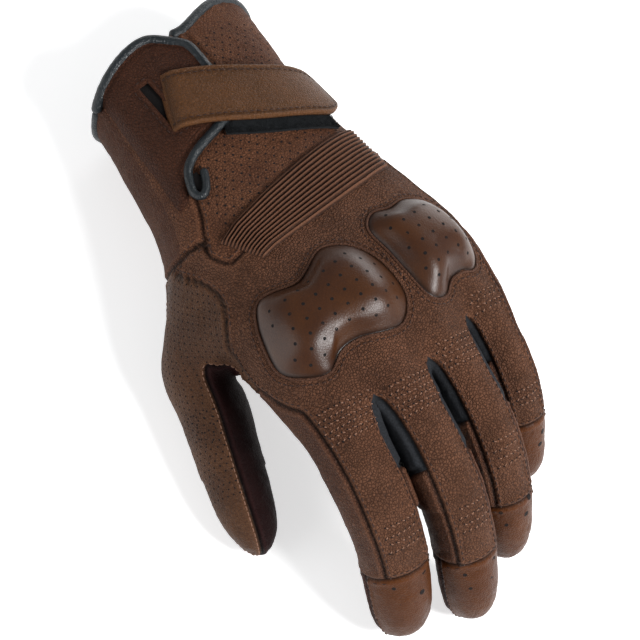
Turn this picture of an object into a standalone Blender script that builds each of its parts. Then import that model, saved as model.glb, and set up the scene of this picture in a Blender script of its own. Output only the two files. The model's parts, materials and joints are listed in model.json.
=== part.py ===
"""A left-hand leather riding glove, resting palm down with its fingers pre-curved.

The glove is designed in a hand frame, in millimetres: X towards the thumb, Y towards the
fingertips, Z out of the back of the hand, origin in the wrist. One control cage describes the
whole skin. The cage is subdivided once, its faces are sorted into the leather panels that a
glover would cut, and each panel becomes a solid of its own thickness. Trim, guards, strap and
bindings are laid on that skin. At the end everything is tipped onto its resting plane and moved
so that the origin is the middle of the bounding box's underside.
"""

import math

import bmesh
import bpy
import numpy as np
from mathutils import Vector
from mathutils.bvhtree import BVHTree

MM = 0.001

# Resting pose: the hand is tipped up by this angle, so cuff, fingertips and thumb touch one plane.
REST_PITCH = 12.2

# Leather and gaps.
LEATHER = 1.2
LINING = 0.7
GUSSET = 0.8
SEAM_GAP = 0.25  # each panel draws back this far from a seam it shares
LIFT = 0.75  # clearance under anything laid on the faceted skin

# Hand stations from cuff to finger roots: y, half width, back height, palm depth, centre x, centre z,
# and how much of the dorsal slant the station takes.
STATIONS = [
    (-42.0, 37.0, 22.0, 20.5, -1.0, 0.0, 0.0),
    (-28.0, 37.0, 21.5, 20.0, 0.5, 0.0, 0.3),
    (-13.0, 37.5, 20.5, 19.5, 3.0, 0.0, 0.6),
    (2.0, 38.5, 20.0, 20.5, 4.0, 0.0, 0.8),
    (17.0, 41.5, 19.5, 23.0, 5.0, 0.0, 1.0),
    (33.0, 44.0, 19.5, 26.0, 4.5, 0.0, 1.0),
    (62.0, 48.0, 19.5, 24.0, 3.0, 1.0, 0.4),
    (84.0, 50.0, 17.0, 19.0, 2.5, 2.0, 0.0),
]
CUFF_LOBES = (3, 1, -3, -7, -7, -1, -4, -8, -9, -7, -3, 0, 0, 0, 0, 0, 0, 0, 1, 2)  # edge y by column
DORSAL_SLANT = 0.17  # the wrist seams run further forward on the thumb side
ACROSS = (0.93, 0.72, 0.48, 0.24, 0.0, -0.24, -0.48, -0.72, -0.93)  # columns, thumb side first
ROUNDNESS = 2.6  # superellipse exponent of the hand's sections
KNUCKLE_RISE = 1.6

# The ball of the thumb: what it adds to palm points, by (station, column from the thumb side).
THENAR = {
    (3, 0): (0, -1, -2),
    (4, 0): (0, -3, -5),
    (4, 1): (0, 0, -2),
    (5, 0): (1, 2, -11),
    (5, 1): (1, 2, -7),
    (5, 2): (0, 0, -3),
    (6, 0): (0, 3, -6),
    (6, 1): (0, 2, -3),
    (7, 0): (0, 0, -2),
}

# Column numbers around a hand station.
SIDE_IN, SIDE_OUT = 0, 10
BACK_FIRST, PALM_FIRST = 1, 11
COLUMNS = 20

# Fingers: knuckle position, phalanx lengths, splay, bends at knuckle, middle and end joint,
# half width, half height, y of the webs on the back is in WEBS.
FINGERS = {
    "index": dict(
        at=(36.2, 84, 2), bones=(46, 27, 29), splay=4.6, bend=(17, 34, 20), wide=13.2, high=12.4, reach=1.0
    ),
    "middle": dict(
        at=(11.5, 88, 5), bones=(50, 31, 28), splay=4.4, bend=(20, 34, 20), wide=12.0, high=12.4, reach=1.0
    ),
    "ring": dict(
        at=(-12, 84, 3), bones=(46, 29, 26), splay=4.4, bend=(21, 34, 20), wide=11.5, high=11.8, reach=1.0
    ),
    "little": dict(
        at=(-33, 77, -1), bones=(37, 21, 27), splay=4.4, bend=(21, 33, 18), wide=10.4, high=10.6, reach=0.86
    ),
}
ROOT_AT = 17.0  # from the knuckle to the ring where a finger leaves the hand, times its reach
ROOT_ZONE = 12.0  # length of the leather that folds at the root of a finger, times its reach
JOINT_ZONE = 13.0  # length that folds at the middle joint, times its reach
WEB_CORNERS = ((49, 100.0), (24.5, 102.0), (0.5, 99.5), (-22, 92.5), (-42.5, 90.0))  # x, y on the back
WEB_PALM_SHIFT = 8.0  # the webs reach further forward on the palm side
BACK_ARC = 45.0  # a finger's corners lie this far round from its sides
CAGE_SWELL = 1.085  # a subdivided ring shrinks, so the cage is drawn this much larger

# Thumb: ring centres, half sizes. It grows from the hand between stations 4 and 6.
THUMB_ROWS = (4, 6)
THUMB_KNUCKLE = (55.0, 59.5, -28.0)
THUMB_TIP = (73.5, 111.4, -44.0)
THUMB_NAIL = (0.80, 0.0, 0.60)
THUMB_HINGES = (-5.0, 21.5)  # along the thumb from its knuckle
THUMB_WIDE, THUMB_HIGH = 12.2, 12.6
# Rings along the thumb from its knuckle, and the girth share of each.
THUMB_STOPS = (
    (-10.0, 1.14),
    (0.0, 1.04),
    (16.0, 0.96),
    (27.0, 0.93),
    (36.0, 0.89),
    (45.0, 0.79),
    (51.0, 0.59),
    (54.6, 0.32),
)
THUMB_END = 56.5
THUMB_ARC = (-0.0012, 0.0, -0.0010)  # how the thumb curves, per square millimetre along it
THUMB_LEAN = (0.41, -0.055, -0.055)  # its first ring is tipped this way to meet the hand
THUMB_STEP = (4.0, -1.0, 0.0)  # and moved this way

# Colours, as (red, green, blue), roughness, metallic.
GRAINED = ((0.105, 0.050, 0.029), 0.62, 0.0)
SMOOTH = ((0.170, 0.070, 0.028), 0.42, 0.0)
DARK = ((0.060, 0.024, 0.018), 0.60, 0.0)
BLACK_LEATHER = ((0.022, 0.026, 0.027), 0.38, 0.0)
STRETCH = ((0.018, 0.020, 0.022), 0.80, 0.0)
HOOK_AND_LOOP = ((0.014, 0.014, 0.015), 0.95, 0.0)
SHELL = ((0.030, 0.030, 0.032), 0.45, 0.0)
LINER = ((0.040, 0.036, 0.034), 0.90, 0.0)


def unit(v):
    return v / np.linalg.norm(v)


def smoothstep(low, high, x):
    t = min(1.0, max(0.0, (x - low) / (high - low)))
    return t * t * (3 - 2 * t)


# ---------------------------------------------------------------- the control cage


def station_ring(row):
    """The 20 cage points of one hand station: thumb side, back, little-finger side, palm."""
    y, half, back, palm, cx, cz, slant = STATIONS[row]
    knuckle_row = row == len(STATIONS) - 1

    def rise(i, height):
        f = abs(ACROSS[i])
        return height * (1 - f**ROUNDNESS) ** (1 / ROUNDNESS)

    dorsal, palmar = [], []
    for i, f in enumerate(ACROSS):
        x = cx + f * half
        forward = slant * DORSAL_SLANT * f * half
        bump = KNUCKLE_RISE * (1 if i % 2 else -0.6) if knuckle_row else 0.0
        sag = -3.0 * abs(f - 0.1) ** 2 if knuckle_row else 0.0
        dorsal.append((x, y + forward + 6 * sag, cz + rise(i, back) + bump + sag))
        more = THENAR.get((row, i), (0, 0, 0))
        palmar.append((x + more[0], y + 6 * sag + more[1], cz - rise(i, palm) + more[2]))
    lead = slant * DORSAL_SLANT * half * 0.6
    side_in = (cx + half, y + lead, cz + THENAR.get((row, 0), (0, 0, 0))[2] * 0.4)
    side_out = (cx - half, y - lead - (11.2 if knuckle_row else 0.0), cz)
    ring = [side_in, *dorsal, side_out, *reversed(palmar)]
    if row == 0:
        ring = [(x, y + lobe, z) for (x, y, z), lobe in zip(ring, CUFF_LOBES)]
    return ring


def finger_line(name):
    """Returns a function s -> (centre, along, towards thumb, out of the nail) for a finger."""
    f = FINGERS[name]
    a, b, _ = f["bones"]
    splay = math.radians(f["splay"])
    step = 0.5
    total = sum(f["bones"]) + 6
    centres, angles = [np.array(f["at"], float)], []
    for k in range(int(total / step) + 1):
        s = k * step
        angle = f["bend"][0] * smoothstep(-14, 16, s) + f["bend"][1] * smoothstep(a - 12, a + 12, s)
        angle += f["bend"][2] * smoothstep(a + b - 10, a + b + 10, s)
        angles.append(math.radians(angle))
        along = along_of(splay, angles[-1])
        centres.append(centres[-1] + step * along)

    def at(s):
        k = min(int(s / step), len(angles) - 2)
        t = s / step - k
        centre = centres[k] * (1 - t) + centres[k + 1] * t
        along = along_of(splay, angles[k] * (1 - t) + angles[k + 1] * t)
        inwards = np.array((math.cos(splay), -math.sin(splay), 0.0))
        return centre, along, inwards, np.cross(inwards, along)

    return at


def along_of(splay, angle):
    return np.array(
        (math.sin(splay) * math.cos(angle), math.cos(splay) * math.cos(angle), -math.sin(angle))
    )


def finger_stops(name):
    """Distances from the knuckle to a finger's cage rings, and the girth share of each."""
    a, b, c = FINGERS[name]["bones"]
    reach = FINGERS[name]["reach"]
    end = a + b + c
    return [
        ((ROOT_AT + ROOT_ZONE) * reach, 0.95),
        (a - JOINT_ZONE * reach / 2, 0.96),
        (a + JOINT_ZONE * reach / 2, 0.97),
        (a + b * 0.50, 0.93),
        (a + b * 0.80, 0.92),
        (end - 14, 0.88),
        (end - 5.5, 0.70),
        (end - 1.2, 0.38),
    ]


def ring_points(centre, inwards, nail, wide, high, start=0.0):
    """Eight cage points around a tube: thumb side, back corner, back middle, and on round."""
    points = []
    for k in range(8):
        angle = math.radians(start + k * BACK_ARC)
        reach = wide * math.cos(angle) * inwards + high * math.sin(angle) * nail
        points.append(centre + CAGE_SWELL * reach)
    return points


class Cage:
    """The quads of the whole skin with the name of the panel that each belongs to."""

    def __init__(self):
        self.points, self.faces, self.names = [], [], []

    def add(self, point):
        self.points.append(tuple(float(x) for x in point))
        return len(self.points) - 1

    def face(self, corners, name):
        self.faces.append(corners)
        self.names.append(name)

    def tube(self, first, rings, namer):
        """Quads from ring to ring; namer(segment, column) names them. Returns the last ring."""
        for j, ring in enumerate([*rings]):
            for k in range(8):
                n = (k + 1) % 8
                self.face((first[k], ring[k], ring[n], first[n]), namer(j, k))
            first = ring
        return first


def hand_panel(row, column):
    """The panel that a hand face belongs to; None where the thumb grows out."""
    around_thumb = column in (COLUMNS - 1, 0)
    on_back = BACK_FIRST <= column < BACK_FIRST + 8
    if THUMB_ROWS[0] <= row < THUMB_ROWS[1] and around_thumb:
        return None
    if row < 4:
        if on_back or column == 9:
            return "wrist_back_panel"
        return "wrist_palm_panel"
    if row == 4 and (on_back or column == 9):
        return "wrist_back_panel"
    if around_thumb:
        return "thumb_saddle_panel"
    if on_back:
        return "back_panel"
    return "outer_side_panel" if column in (9, 10) else "palm_panel"


def finger_namer(name, number):
    """Names a finger's quads: segment 0 is its root, 1 straight, 2 the middle joint, the rest its tip."""
    inner = f"{name}_root_palm" if number == 0 else gusset_name(number - 1)
    outer = f"{name}_root_palm" if number == 3 else gusset_name(number)

    def namer(segment, column):
        back, palm = column in (1, 2), column in (5, 6)
        if segment == 0:
            if back:
                return f"{name}_root_back"
            if palm:
                return f"{name}_root_palm"
            return inner if column in (0, 7) else outer
        if segment == 1:
            if back or palm:
                return f"{name}_base_back" if back else f"{name}_base_palm"
            side = inner if column in (0, 7) else outer
            return f"{name}_base_palm" if side == f"{name}_root_palm" else side
        if segment == 2:
            return f"{name}_joint_sleeve"
        return f"{name}_tip_back" if back and segment in (3, 4) else f"{name}_tip_cap"

    return namer


def gusset_name(pair):
    names = list(FINGERS)
    return f"gusset_{names[pair]}_{names[pair + 1]}"


def thumb_namer(segment, column):
    nail_side = column in (1, 2, 3, 4)
    if segment == 0:
        return "thumb_base_back" if nail_side else "thumb_base_palm"
    if segment == 1:
        return "thumb_root_sleeve"
    if segment == 2:
        return "thumb_middle_back" if nail_side else "thumb_middle_palm"
    if segment == 3:
        return "thumb_joint_sleeve"
    return "thumb_tip_back" if nail_side else "thumb_tip_palm"


def build_cage():
    cage = Cage()
    rows = [[cage.add(p) for p in station_ring(r)] for r in range(len(STATIONS))]

    # The root row, where the fingers leave: its back and palm points are shared by neighbours.
    lines = {name: finger_line(name) for name in FINGERS}
    roots = {name: lines[name](ROOT_AT * FINGERS[name]["reach"]) for name in FINGERS}
    back, palm = [], []
    for i, name in enumerate(FINGERS):
        centre, along, inwards, nail = roots[name]
        high = FINGERS[name]["high"]
        corner = WEB_CORNERS[i]
        level = centre if i == 0 else (centre + roots[list(FINGERS)[i - 1]][0]) / 2
        back.append((corner[0], corner[1], level[2] + high * 0.80))
        palm.append((corner[0], corner[1] + WEB_PALM_SHIFT, level[2] - high * 0.62))
        back.append(tuple(centre + nail * high * 1.12))
        palm.append(tuple(centre + along * 2 - nail * high * 1.08))
    corner = WEB_CORNERS[4]
    back.append((corner[0], corner[1], centre[2] + high * 0.72))
    palm.append((corner[0], corner[1] + WEB_PALM_SHIFT * 0.5, centre[2] - high * 0.6))
    side_in = (51.5, 102.0, roots["index"][0][2] + 1)
    side_out = (-45.0, 93.0, roots["little"][0][2])
    root_row = [cage.add(p) for p in (side_in, *back, side_out, *reversed(palm))]
    rows.append(root_row)
    web_middles = []
    for i in (1, 2, 3):
        x, y = WEB_CORNERS[i]
        z = (back[2 * i][2] + palm[2 * i][2]) / 2
        web_middles.append(cage.add((x, y + WEB_PALM_SHIFT * 0.35, z)))

    for r in range(len(rows) - 1):
        for c in range(COLUMNS):
            name = hand_panel(r, c)
            if name:
                n = (c + 1) % COLUMNS
                cage.face((rows[r][c], rows[r + 1][c], rows[r + 1][n], rows[r][n]), name)

    for i, name in enumerate(FINGERS):
        backs = [root_row[BACK_FIRST + 2 * i + k] for k in range(3)]
        palms = [root_row[PALM_FIRST + 8 - 2 * i - k] for k in range(3)]
        inner = root_row[SIDE_IN] if i == 0 else web_middles[i - 1]
        outer = root_row[SIDE_OUT] if i == 3 else web_middles[i]
        first = [inner, *backs, outer, *reversed(palms)]
        f = FINGERS[name]
        rings = []
        for s, girth in finger_stops(name):
            centre, along, inwards, nail = lines[name](s)
            ring = ring_points(centre, inwards, nail, f["wide"] * girth, f["high"] * girth)
            rings.append([cage.add(p) for p in ring])
        last = cage.tube(first, rings, finger_namer(name, i))
        tip = cage.add(lines[name](sum(f["bones"]))[0])
        for k in range(8):
            cage.face((last[k], tip, last[(k + 1) % 8]), f"{name}_tip_cap")

    add_thumb(cage, rows)
    return cage


def thumb_at(s):
    """(centre, towards palm-and-thumb side, nail side, along) of the thumb, s from its knuckle."""
    along = unit(np.array(THUMB_TIP) - np.array(THUMB_KNUCKLE))
    nail = unit(np.array(THUMB_NAIL) - along * (np.array(THUMB_NAIL) @ along))
    root = smoothstep(-2.0, 10.0, -s)
    centre = np.array(THUMB_KNUCKLE) + along * s + np.array(THUMB_ARC) * max(0.0, s) ** 2
    centre = centre + np.array(THUMB_STEP) * root
    along = unit(along + np.array(THUMB_LEAN) * root)
    lateral = unit(np.cross(nail, -along))
    return centre, lateral, np.cross(lateral, along), along


def add_thumb(cage, rows):
    low, high = THUMB_ROWS
    mid = low + 1
    top, side, bottom = BACK_FIRST, SIDE_IN, COLUMNS - 1
    first = [
        rows[low][bottom],
        rows[low][side],
        rows[low][top],
        rows[mid][top],
        rows[high][top],
        rows[high][side],
        rows[high][bottom],
        rows[mid][bottom],
    ]
    rings = []
    for s, girth in THUMB_STOPS:
        centre, lateral, nail, _ = thumb_at(s)
        ring = ring_points(centre, lateral, nail, THUMB_WIDE * girth, THUMB_HIGH * girth, -BACK_ARC)
        rings.append([cage.add(p) for p in ring])
    last = cage.tube(first, rings, thumb_namer)
    tip = cage.add(thumb_at(THUMB_END)[0])
    for k in range(8):
        name = "thumb_tip_back" if k in (1, 2, 3, 4) else "thumb_tip_palm"
        cage.face((last[k], tip, last[(k + 1) % 8]), name)


def subdivide(cage, levels):
    """The smooth skin: points, unit normals, quads and the panel name of each quad."""
    names = sorted(set(cage.names))
    mesh = bpy.data.meshes.new("cage")
    mesh.from_pydata(cage.points, [], cage.faces)
    for polygon, name in zip(mesh.polygons, cage.names):
        polygon.material_index = names.index(name)
        polygon.use_smooth = True
    for _ in names:
        mesh.materials.append(None)
    obj = bpy.data.objects.new("cage", mesh)
    bpy.context.scene.collection.objects.link(obj)
    modifier = obj.modifiers.new("smooth", "SUBSURF")
    modifier.levels = modifier.render_levels = levels
    modifier.quality = 4
    depsgraph = bpy.context.evaluated_depsgraph_get()
    smooth = bpy.data.meshes.new_from_object(obj.evaluated_get(depsgraph))
    points = [np.array(v.co) for v in smooth.vertices]
    normals = [np.array(v.normal) for v in smooth.vertices]
    faces = [tuple(p.vertices) for p in smooth.polygons]
    panels = [names[p.material_index] for p in smooth.polygons]
    bpy.data.objects.remove(obj)
    bpy.data.meshes.remove(mesh)
    bpy.data.meshes.remove(smooth)
    return points, normals, faces, panels


class Skin:
    """The faceted skin that panels are cut from and trim is laid on."""

    def __init__(self):
        self.points, self.normals, self.faces, self.panels = subdivide(build_cage(), 1)
        self.tree = BVHTree.FromPolygons([tuple(p) for p in self.points], self.faces)

    def near(self, p):
        """The nearest skin point to p, with the skin's smooth normal there."""
        spot, flat, index, _ = self.tree.find_nearest(Vector(p))
        spot = np.array(spot)
        total = np.zeros(3)
        for v in self.faces[index]:
            total += self.normals[v] / (1.0 + np.linalg.norm(self.points[v] - spot)) ** 2
        return spot, unit(total)

    def lay(self, p, height):
        spot, normal = self.near(p)
        return spot + normal * height

    def wrap(self, angle, y, height=0.0):
        """Around the wrist: angle 0 is the thumb side, 90 the back, 180 the little-finger side."""
        a = math.radians(angle)
        ray = Vector((math.cos(a), 0.0, math.sin(a)))
        hit = self.tree.ray_cast(Vector((3.0, y, 0.0)), ray)[0]
        spot, normal = self.near(hit)
        return spot + normal * height

    def past_cuff(self, angle, y):
        """As wrap, but the skin is taken to run straight on beyond the cuff's edge."""
        edge = -37.5
        spot, normal = self.near(self.wrap(angle, max(y, edge)))
        return spot + np.array((0.0, min(0.0, y - edge), 0.0)), normal

    def drop(self, x, y, height=0.0, below=False):
        """Straight down onto the back of the hand, or straight up onto the palm."""
        start = Vector((x, y, -80.0 if below else 80.0))
        hit = self.tree.ray_cast(start, Vector((0.0, 0.0, 1.0 if below else -1.0)))[0]
        spot, normal = self.near(hit)
        return spot + normal * height


# ---------------------------------------------------------------- solids


def thicken(faces, outer, inner):
    """One closed solid between two copies of a patch; its open edges become walls."""
    used = sorted({v for face in faces for v in face})
    place = {v: k for k, v in enumerate(used)}
    count = len(used)
    points = [outer[v] for v in used] + [inner[v] for v in used]
    solid = [tuple(place[v] for v in face) for face in faces]
    solid += [tuple(place[v] + count for v in reversed(face)) for face in faces]
    for a, b in open_edges(faces):
        a, b = place[a], place[b]
        solid.append((b, a, a + count, b + count))
    return points, solid


def open_edges(faces):
    edges = {}
    for face in faces:
        for k in range(len(face)):
            a, b = face[k], face[(k + 1) % len(face)]
            edges[(a, b)] = edges.get((a, b), 0) + 1
    return [edge for edge in edges if (edge[1], edge[0]) not in edges]


def drawn_back(faces, points, normals, gap):
    """Points of a patch with its open edges pulled in by the gap, along the surface."""
    moved = {v: points[v] for face in faces for v in face}
    centres = {}
    for face in faces:
        middle = sum(points[v] for v in face) / len(face)
        for k in range(len(face)):
            centres[(face[k], face[(k + 1) % len(face)])] = middle
    pulls = {}
    for a, b in open_edges(faces):
        along = unit(points[b] - points[a])
        for v in (a, b):
            across = unit(np.cross(normals[v], along))
            if across @ (centres[(a, b)] - points[a]) < 0:
                across = -across
            pulls.setdefault(v, []).append(across)
    for v, directions in pulls.items():
        total = sum(directions)
        if len(directions) > 1:
            total = total / max(0.3, 1 + directions[0] @ directions[1])
        moved[v] = points[v] + total * gap
    return moved


def panel_solid(skin, name):
    """The panel called name, cut from the skin and given its thickness inwards."""
    faces = [f for f, n in zip(skin.faces, skin.panels) if n == name]
    if name.startswith("gusset") or name == "thumb_base_palm":
        return shell_solid(skin, faces, GUSSET, 0.2, SEAM_GAP * 2)
    return shell_solid(skin, faces, LEATHER, 0.0, SEAM_GAP)


def shell_solid(skin, faces, thickness, depth, gap):
    """A layer of the skin between two depths under its surface."""
    moved = drawn_back(faces, skin.points, skin.normals, gap)
    outer = {v: p - skin.normals[v] * depth for v, p in moved.items()}
    inner = {v: p - skin.normals[v] * (depth + thickness) for v, p in moved.items()}
    return thicken(faces, outer, inner)


def sheet_solid(rows, missing=()):
    """A closed plate from rows of (bottom, top) pairs, less the cells that are missing."""
    across = len(rows[0])
    flat = [pair for row in rows for pair in row]
    faces = []
    for i in range(len(rows) - 1):
        for j in range(across - 1):
            if (i, j) in missing:
                continue
            k = i * across + j
            faces.append((k, k + 1, k + across + 1, k + across))
    bottom = {k: pair[0] for k, pair in enumerate(flat)}
    top = {k: pair[1] for k, pair in enumerate(flat)}
    return outward(*thicken(faces, top, bottom))


def outward(points, faces):
    """The same closed solid, with its faces turned outwards."""
    volume = 0.0
    for face in faces:
        for k in range(1, len(face) - 1):
            a, b, c = points[face[0]], points[face[k]], points[face[k + 1]]
            volume += a @ np.cross(b, c)
    if volume < 0:
        faces = [tuple(reversed(face)) for face in faces]
    return points, faces


def disc_solid(outline, rings, centre, pair_at):
    """A closed plate over a star-shaped outline; pair_at(x, y, share) gives (bottom, top)."""
    flat, faces = [], []
    n = len(outline)
    for share in rings:
        for x, y in outline:
            px = centre[0] + (x - centre[0]) * share
            py = centre[1] + (y - centre[1]) * share
            flat.append(pair_at(px, py, share))
    flat.append(pair_at(centre[0], centre[1], 0.0))
    for r in range(len(rings) - 1):
        for k in range(n):
            m = (k + 1) % n
            faces.append((r * n + k, r * n + m, (r + 1) * n + m, (r + 1) * n + k))
    last = (len(rings) - 1) * n
    for k in range(n):
        faces.append((last + k, last + (k + 1) % n, len(flat) - 1))
    bottom = {k: pair[0] for k, pair in enumerate(flat)}
    top = {k: pair[1] for k, pair in enumerate(flat)}
    return outward(*thicken(faces, top, bottom))


def tube_solid(path, radius, closed=False, sides=8):
    """A round cord along a path."""
    path = [np.array(p, float) for p in path]
    count = len(path)
    points, faces = [], []
    side = None
    for i, p in enumerate(path):
        before = path[i - 1] if i or closed else p
        after = path[(i + 1) % count] if i + 1 < count or closed else p
        along = unit(after - before)
        if side is None:
            side = unit(np.cross(along, (0.31, 0.52, 0.80)))
        side = unit(side - along * (side @ along))
        up = np.cross(along, side)
        for k in range(sides):
            a = 2 * math.pi * k / sides
            points.append(p + radius * (math.cos(a) * side + math.sin(a) * up))
    rings = count if closed else count - 1
    for i in range(rings):
        j = (i + 1) % count
        shift = 0
        if closed and j == 0:
            gaps = [np.linalg.norm(points[i * sides] - points[k]) for k in range(sides)]
            shift = int(np.argmin(gaps))
        for k in range(sides):
            m = (k + 1) % sides
            ahead = (j * sides + (m + shift) % sides, j * sides + (k + shift) % sides)
            faces.append((i * sides + k, i * sides + m, *ahead))
    if not closed:
        faces.append(tuple(reversed(range(sides))))
        faces.append(tuple((count - 1) * sides + k for k in range(sides)))
    return outward(points, faces)


def rounded(corners, count):
    """A closed smooth curve through the corners, with evenly shared points."""
    n = len(corners)
    p = [np.array(c, float) for c in corners]
    dense = []
    for k in range(n):
        a, b, c, d = p[k - 1], p[k], p[(k + 1) % n], p[(k + 2) % n]
        for j in range(12):
            t = j / 12
            bow = (2 * a - 5 * b + 4 * c - d) * t**2 + (3 * b - a - 3 * c + d) * t**3
            dense.append(0.5 * (2 * b + (c - a) * t + bow))
    lengths = [0.0]
    for k in range(len(dense)):
        lengths.append(lengths[-1] + np.linalg.norm(dense[(k + 1) % len(dense)] - dense[k]))
    out, k = [], 0
    for j in range(count):
        want = lengths[-1] * j / count
        while lengths[k + 1] < want:
            k += 1
        t = (want - lengths[k]) / (lengths[k + 1] - lengths[k])
        out.append(dense[k] * (1 - t) + dense[(k + 1) % len(dense)] * t)
    return out


# ---------------------------------------------------------------- trim

# Outlines of the two knuckle guards on the back of the hand, x and y.
WIDE_GUARD = (
    (37, 57), (25, 60), (19, 58), (11, 54), (3, 57), (-2, 64), (-4, 74), (-3, 84),
    (3, 90), (11, 90), (20, 87), (27, 87), (34, 91), (41, 88), (46, 81), (45, 71), (42, 62),
)
NARROW_GUARD = (
    (-27, 52), (-20, 53), (-13, 52), (-8, 57), (-8.5, 67), (-9, 77), (-11, 87),
    (-17, 88.5), (-23, 84), (-29, 83), (-34, 84), (-38.5, 79), (-39.5, 71), (-38, 62), (-34, 55),
)
GUARD_POINTS = 30
GUARD_RISE = 4.2  # height of a guard's dome over its rim
COVER = 1.2
SHELL_GAP = 0.45

# Ribbed stretch band between wrist and back: x, upper y, lower y.
BAND = (
    (35, 31.5, 40.0),
    (28, 29.0, 43.0),
    (12, 24.5, 43.5),
    (-4, 21.0, 42.0),
    (-19, 18.0, 40.0),
    (-33, 15.5, 37.0),
)
BAND_RIBS = 9
RIB_HEIGHT = 1.0

# Closure: a flap on the thumb side laps over the back; the strap leaves through its slot.
FLAP_FROM, FLAP_TO = 14.0, 101.0  # angles round the wrist
FLAP_EDGES = (
    (14, -39, 6.5),
    (30, -42.5, 4.5),
    (50, -46.5, -2.5),
    (70, -47.5, -6.0),
    (88, -44, -7.5),
    (101, -38, -9),
)
FLAP_THICK = 1.3
SLOT = (45.0, 52.0, -33.0, -12.0)  # angles and y of the slot in the flap
STRAP_START, STRAP_END = 50.0, 171.0
STRAP_WIDTH = 23.0
STRAP_THICK = 2.2
STRAP_Y = (-22.5, 3.0)  # y of the strap's middle at its start and end
STRAP_HEIGHT = (2.75, 4.0)  # clearance over the skin at its start and under the hook pad
LOOP_PAD = 1.2
HOOK_PAD = 0.9
PIPING = 1.5  # radius of the edge piping

# Flat pad on the heel of the palm.
HEEL_PAD = (
    (26, 4), (30, 16), (27, 30), (14, 37), (-4, 37),
    (-20, 33), (-27, 22), (-25, 8), (-12, 2), (8, 1),
)
HEEL_DROP = 3.2  # depth of the pad's flat underside below the lowest palm skin under it


def guard_solids(skin, corners):
    """The thin leather cover of a guard and the moulded shell inside it."""
    outline = rounded(corners, GUARD_POINTS)
    centre = sum(outline) / len(outline)

    def rise(share):
        return LIFT + GUARD_RISE * (1 - smoothstep(0.55, 0.97, share))

    def cover(x, y, share):
        spot, normal = skin.near(skin.drop(x, y))
        return spot + normal * rise(share), spot + normal * (rise(share) + COVER)

    def shell(x, y, share):
        spot, normal = skin.near(skin.drop(x, y))
        roof = max(LIFT + 0.7, rise(share) - SHELL_GAP)
        return spot + normal * LIFT, spot + normal * roof

    cover_rings = (1.0, 0.93, 0.85, 0.76, 0.66, 0.5, 0.25)
    shell_rings = (0.72, 0.6, 0.45, 0.22)
    return disc_solid(outline, cover_rings, centre, cover), disc_solid(outline, shell_rings, centre, shell)


def band_solid(skin):
    """The ribbed band: rows run along the hand, ribs across it."""
    rows = []
    across = 16
    steps = BAND_RIBS * 2
    for i in range(across + 1):
        t = i / across * (len(BAND) - 1)
        k = min(int(t), len(BAND) - 2)
        x, top, low = (BAND[k][j] * (1 - (t - k)) + BAND[k + 1][j] * (t - k) for j in range(3))
        row = []
        for j in range(steps + 1):
            spot, normal = skin.near(skin.drop(x, top + (low - top) * j / steps))
            height = LIFT + 1.0 + (RIB_HEIGHT if j % 2 else 0.0)
            row.append((spot + normal * LIFT, spot + normal * height))
        rows.append(row)
    return sheet_solid(rows)


def spread(table, t):
    """Straight-line reading of rows (t, a, b) at t."""
    for low, high in zip(table, table[1:]):
        if t <= high[0]:
            share = (t - low[0]) / (high[0] - low[0])
            return [low[j] * (1 - share) + high[j] * share for j in (1, 2)]
    return list(table[-1][1:])


def flap_solid(skin):
    """The lapping flap, with the slot left open in it."""
    angles = [14, 22, 30, 38, SLOT[0], SLOT[1], 60, 68, 76, 84, 92, 101]
    rows = []
    for angle in angles:
        top, low = spread(FLAP_EDGES, angle)
        inner = [SLOT[2], (SLOT[2] * 2 + SLOT[3]) / 3, (SLOT[2] + SLOT[3] * 2) / 3, SLOT[3]]
        stops = [top, (top + SLOT[2]) / 2, *inner, SLOT[3] / 2 + low / 2, low]
        row = []
        for y in stops:
            spot, normal = skin.past_cuff(angle, y)
            row.append((spot + normal * LIFT, spot + normal * (LIFT + FLAP_THICK)))
        rows.append(row)
    slot = {(4, 2), (4, 3), (4, 4)}
    return sheet_solid(rows, slot)


def strap_line(skin, share, height):
    angle = STRAP_START + (STRAP_END - STRAP_START) * share
    y = STRAP_Y[0] + (STRAP_Y[1] - STRAP_Y[0]) * share
    spot, normal = skin.near(skin.wrap(angle, y))
    return spot + normal * height, normal


def strap_rows(skin, shares, low, thick, width, sideways=0.0, end_round=0.0):
    """Rows across a band that follows the strap's line; low(share) is its clearance."""
    rows = []
    for share in shares:
        here, normal = strap_line(skin, share, 0.0)
        ahead = strap_line(skin, min(1.0, share + 0.02), 0.0)[0]
        behind = strap_line(skin, max(0.0, share - 0.02), 0.0)[0]
        along = unit(ahead - behind)
        across = unit(np.cross(normal, along))
        half = width / 2
        if end_round and share > 1 - end_round:
            t = (share - (1 - end_round)) / end_round
            half *= math.sqrt(max(0.12, 1 - t**3))
        row = []
        for j in range(5):
            w = (j / 4 * 2 - 1) * half + sideways
            spot, out = skin.near(here + across * w)
            out = unit(out + normal)
            row.append((spot + out * low(share), spot + out * (low(share) + thick)))
        rows.append(row)
    return rows


def strap_solids(skin):
    def under(share):
        return STRAP_HEIGHT[0] + (STRAP_HEIGHT[1] - STRAP_HEIGHT[0]) * smoothstep(0.1, 0.36, share)

    shares = [k / 15 for k in range(16)]
    strap = sheet_solid(strap_rows(skin, shares, under, STRAP_THICK, STRAP_WIDTH, end_round=0.12))
    shares = [0.60 + 0.30 * k / 5 for k in range(6)]
    hook_low = LIFT + LOOP_PAD + 0.45
    hook = sheet_solid(strap_rows(skin, shares, lambda share: hook_low, HOOK_PAD, STRAP_WIDTH - 5))
    shares = [0.57 + 0.34 * k / 7 for k in range(8)]
    loop = sheet_solid(strap_rows(skin, shares, lambda share: LIFT, LOOP_PAD, STRAP_WIDTH, sideways=-2.0))
    return strap, hook, loop


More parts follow.
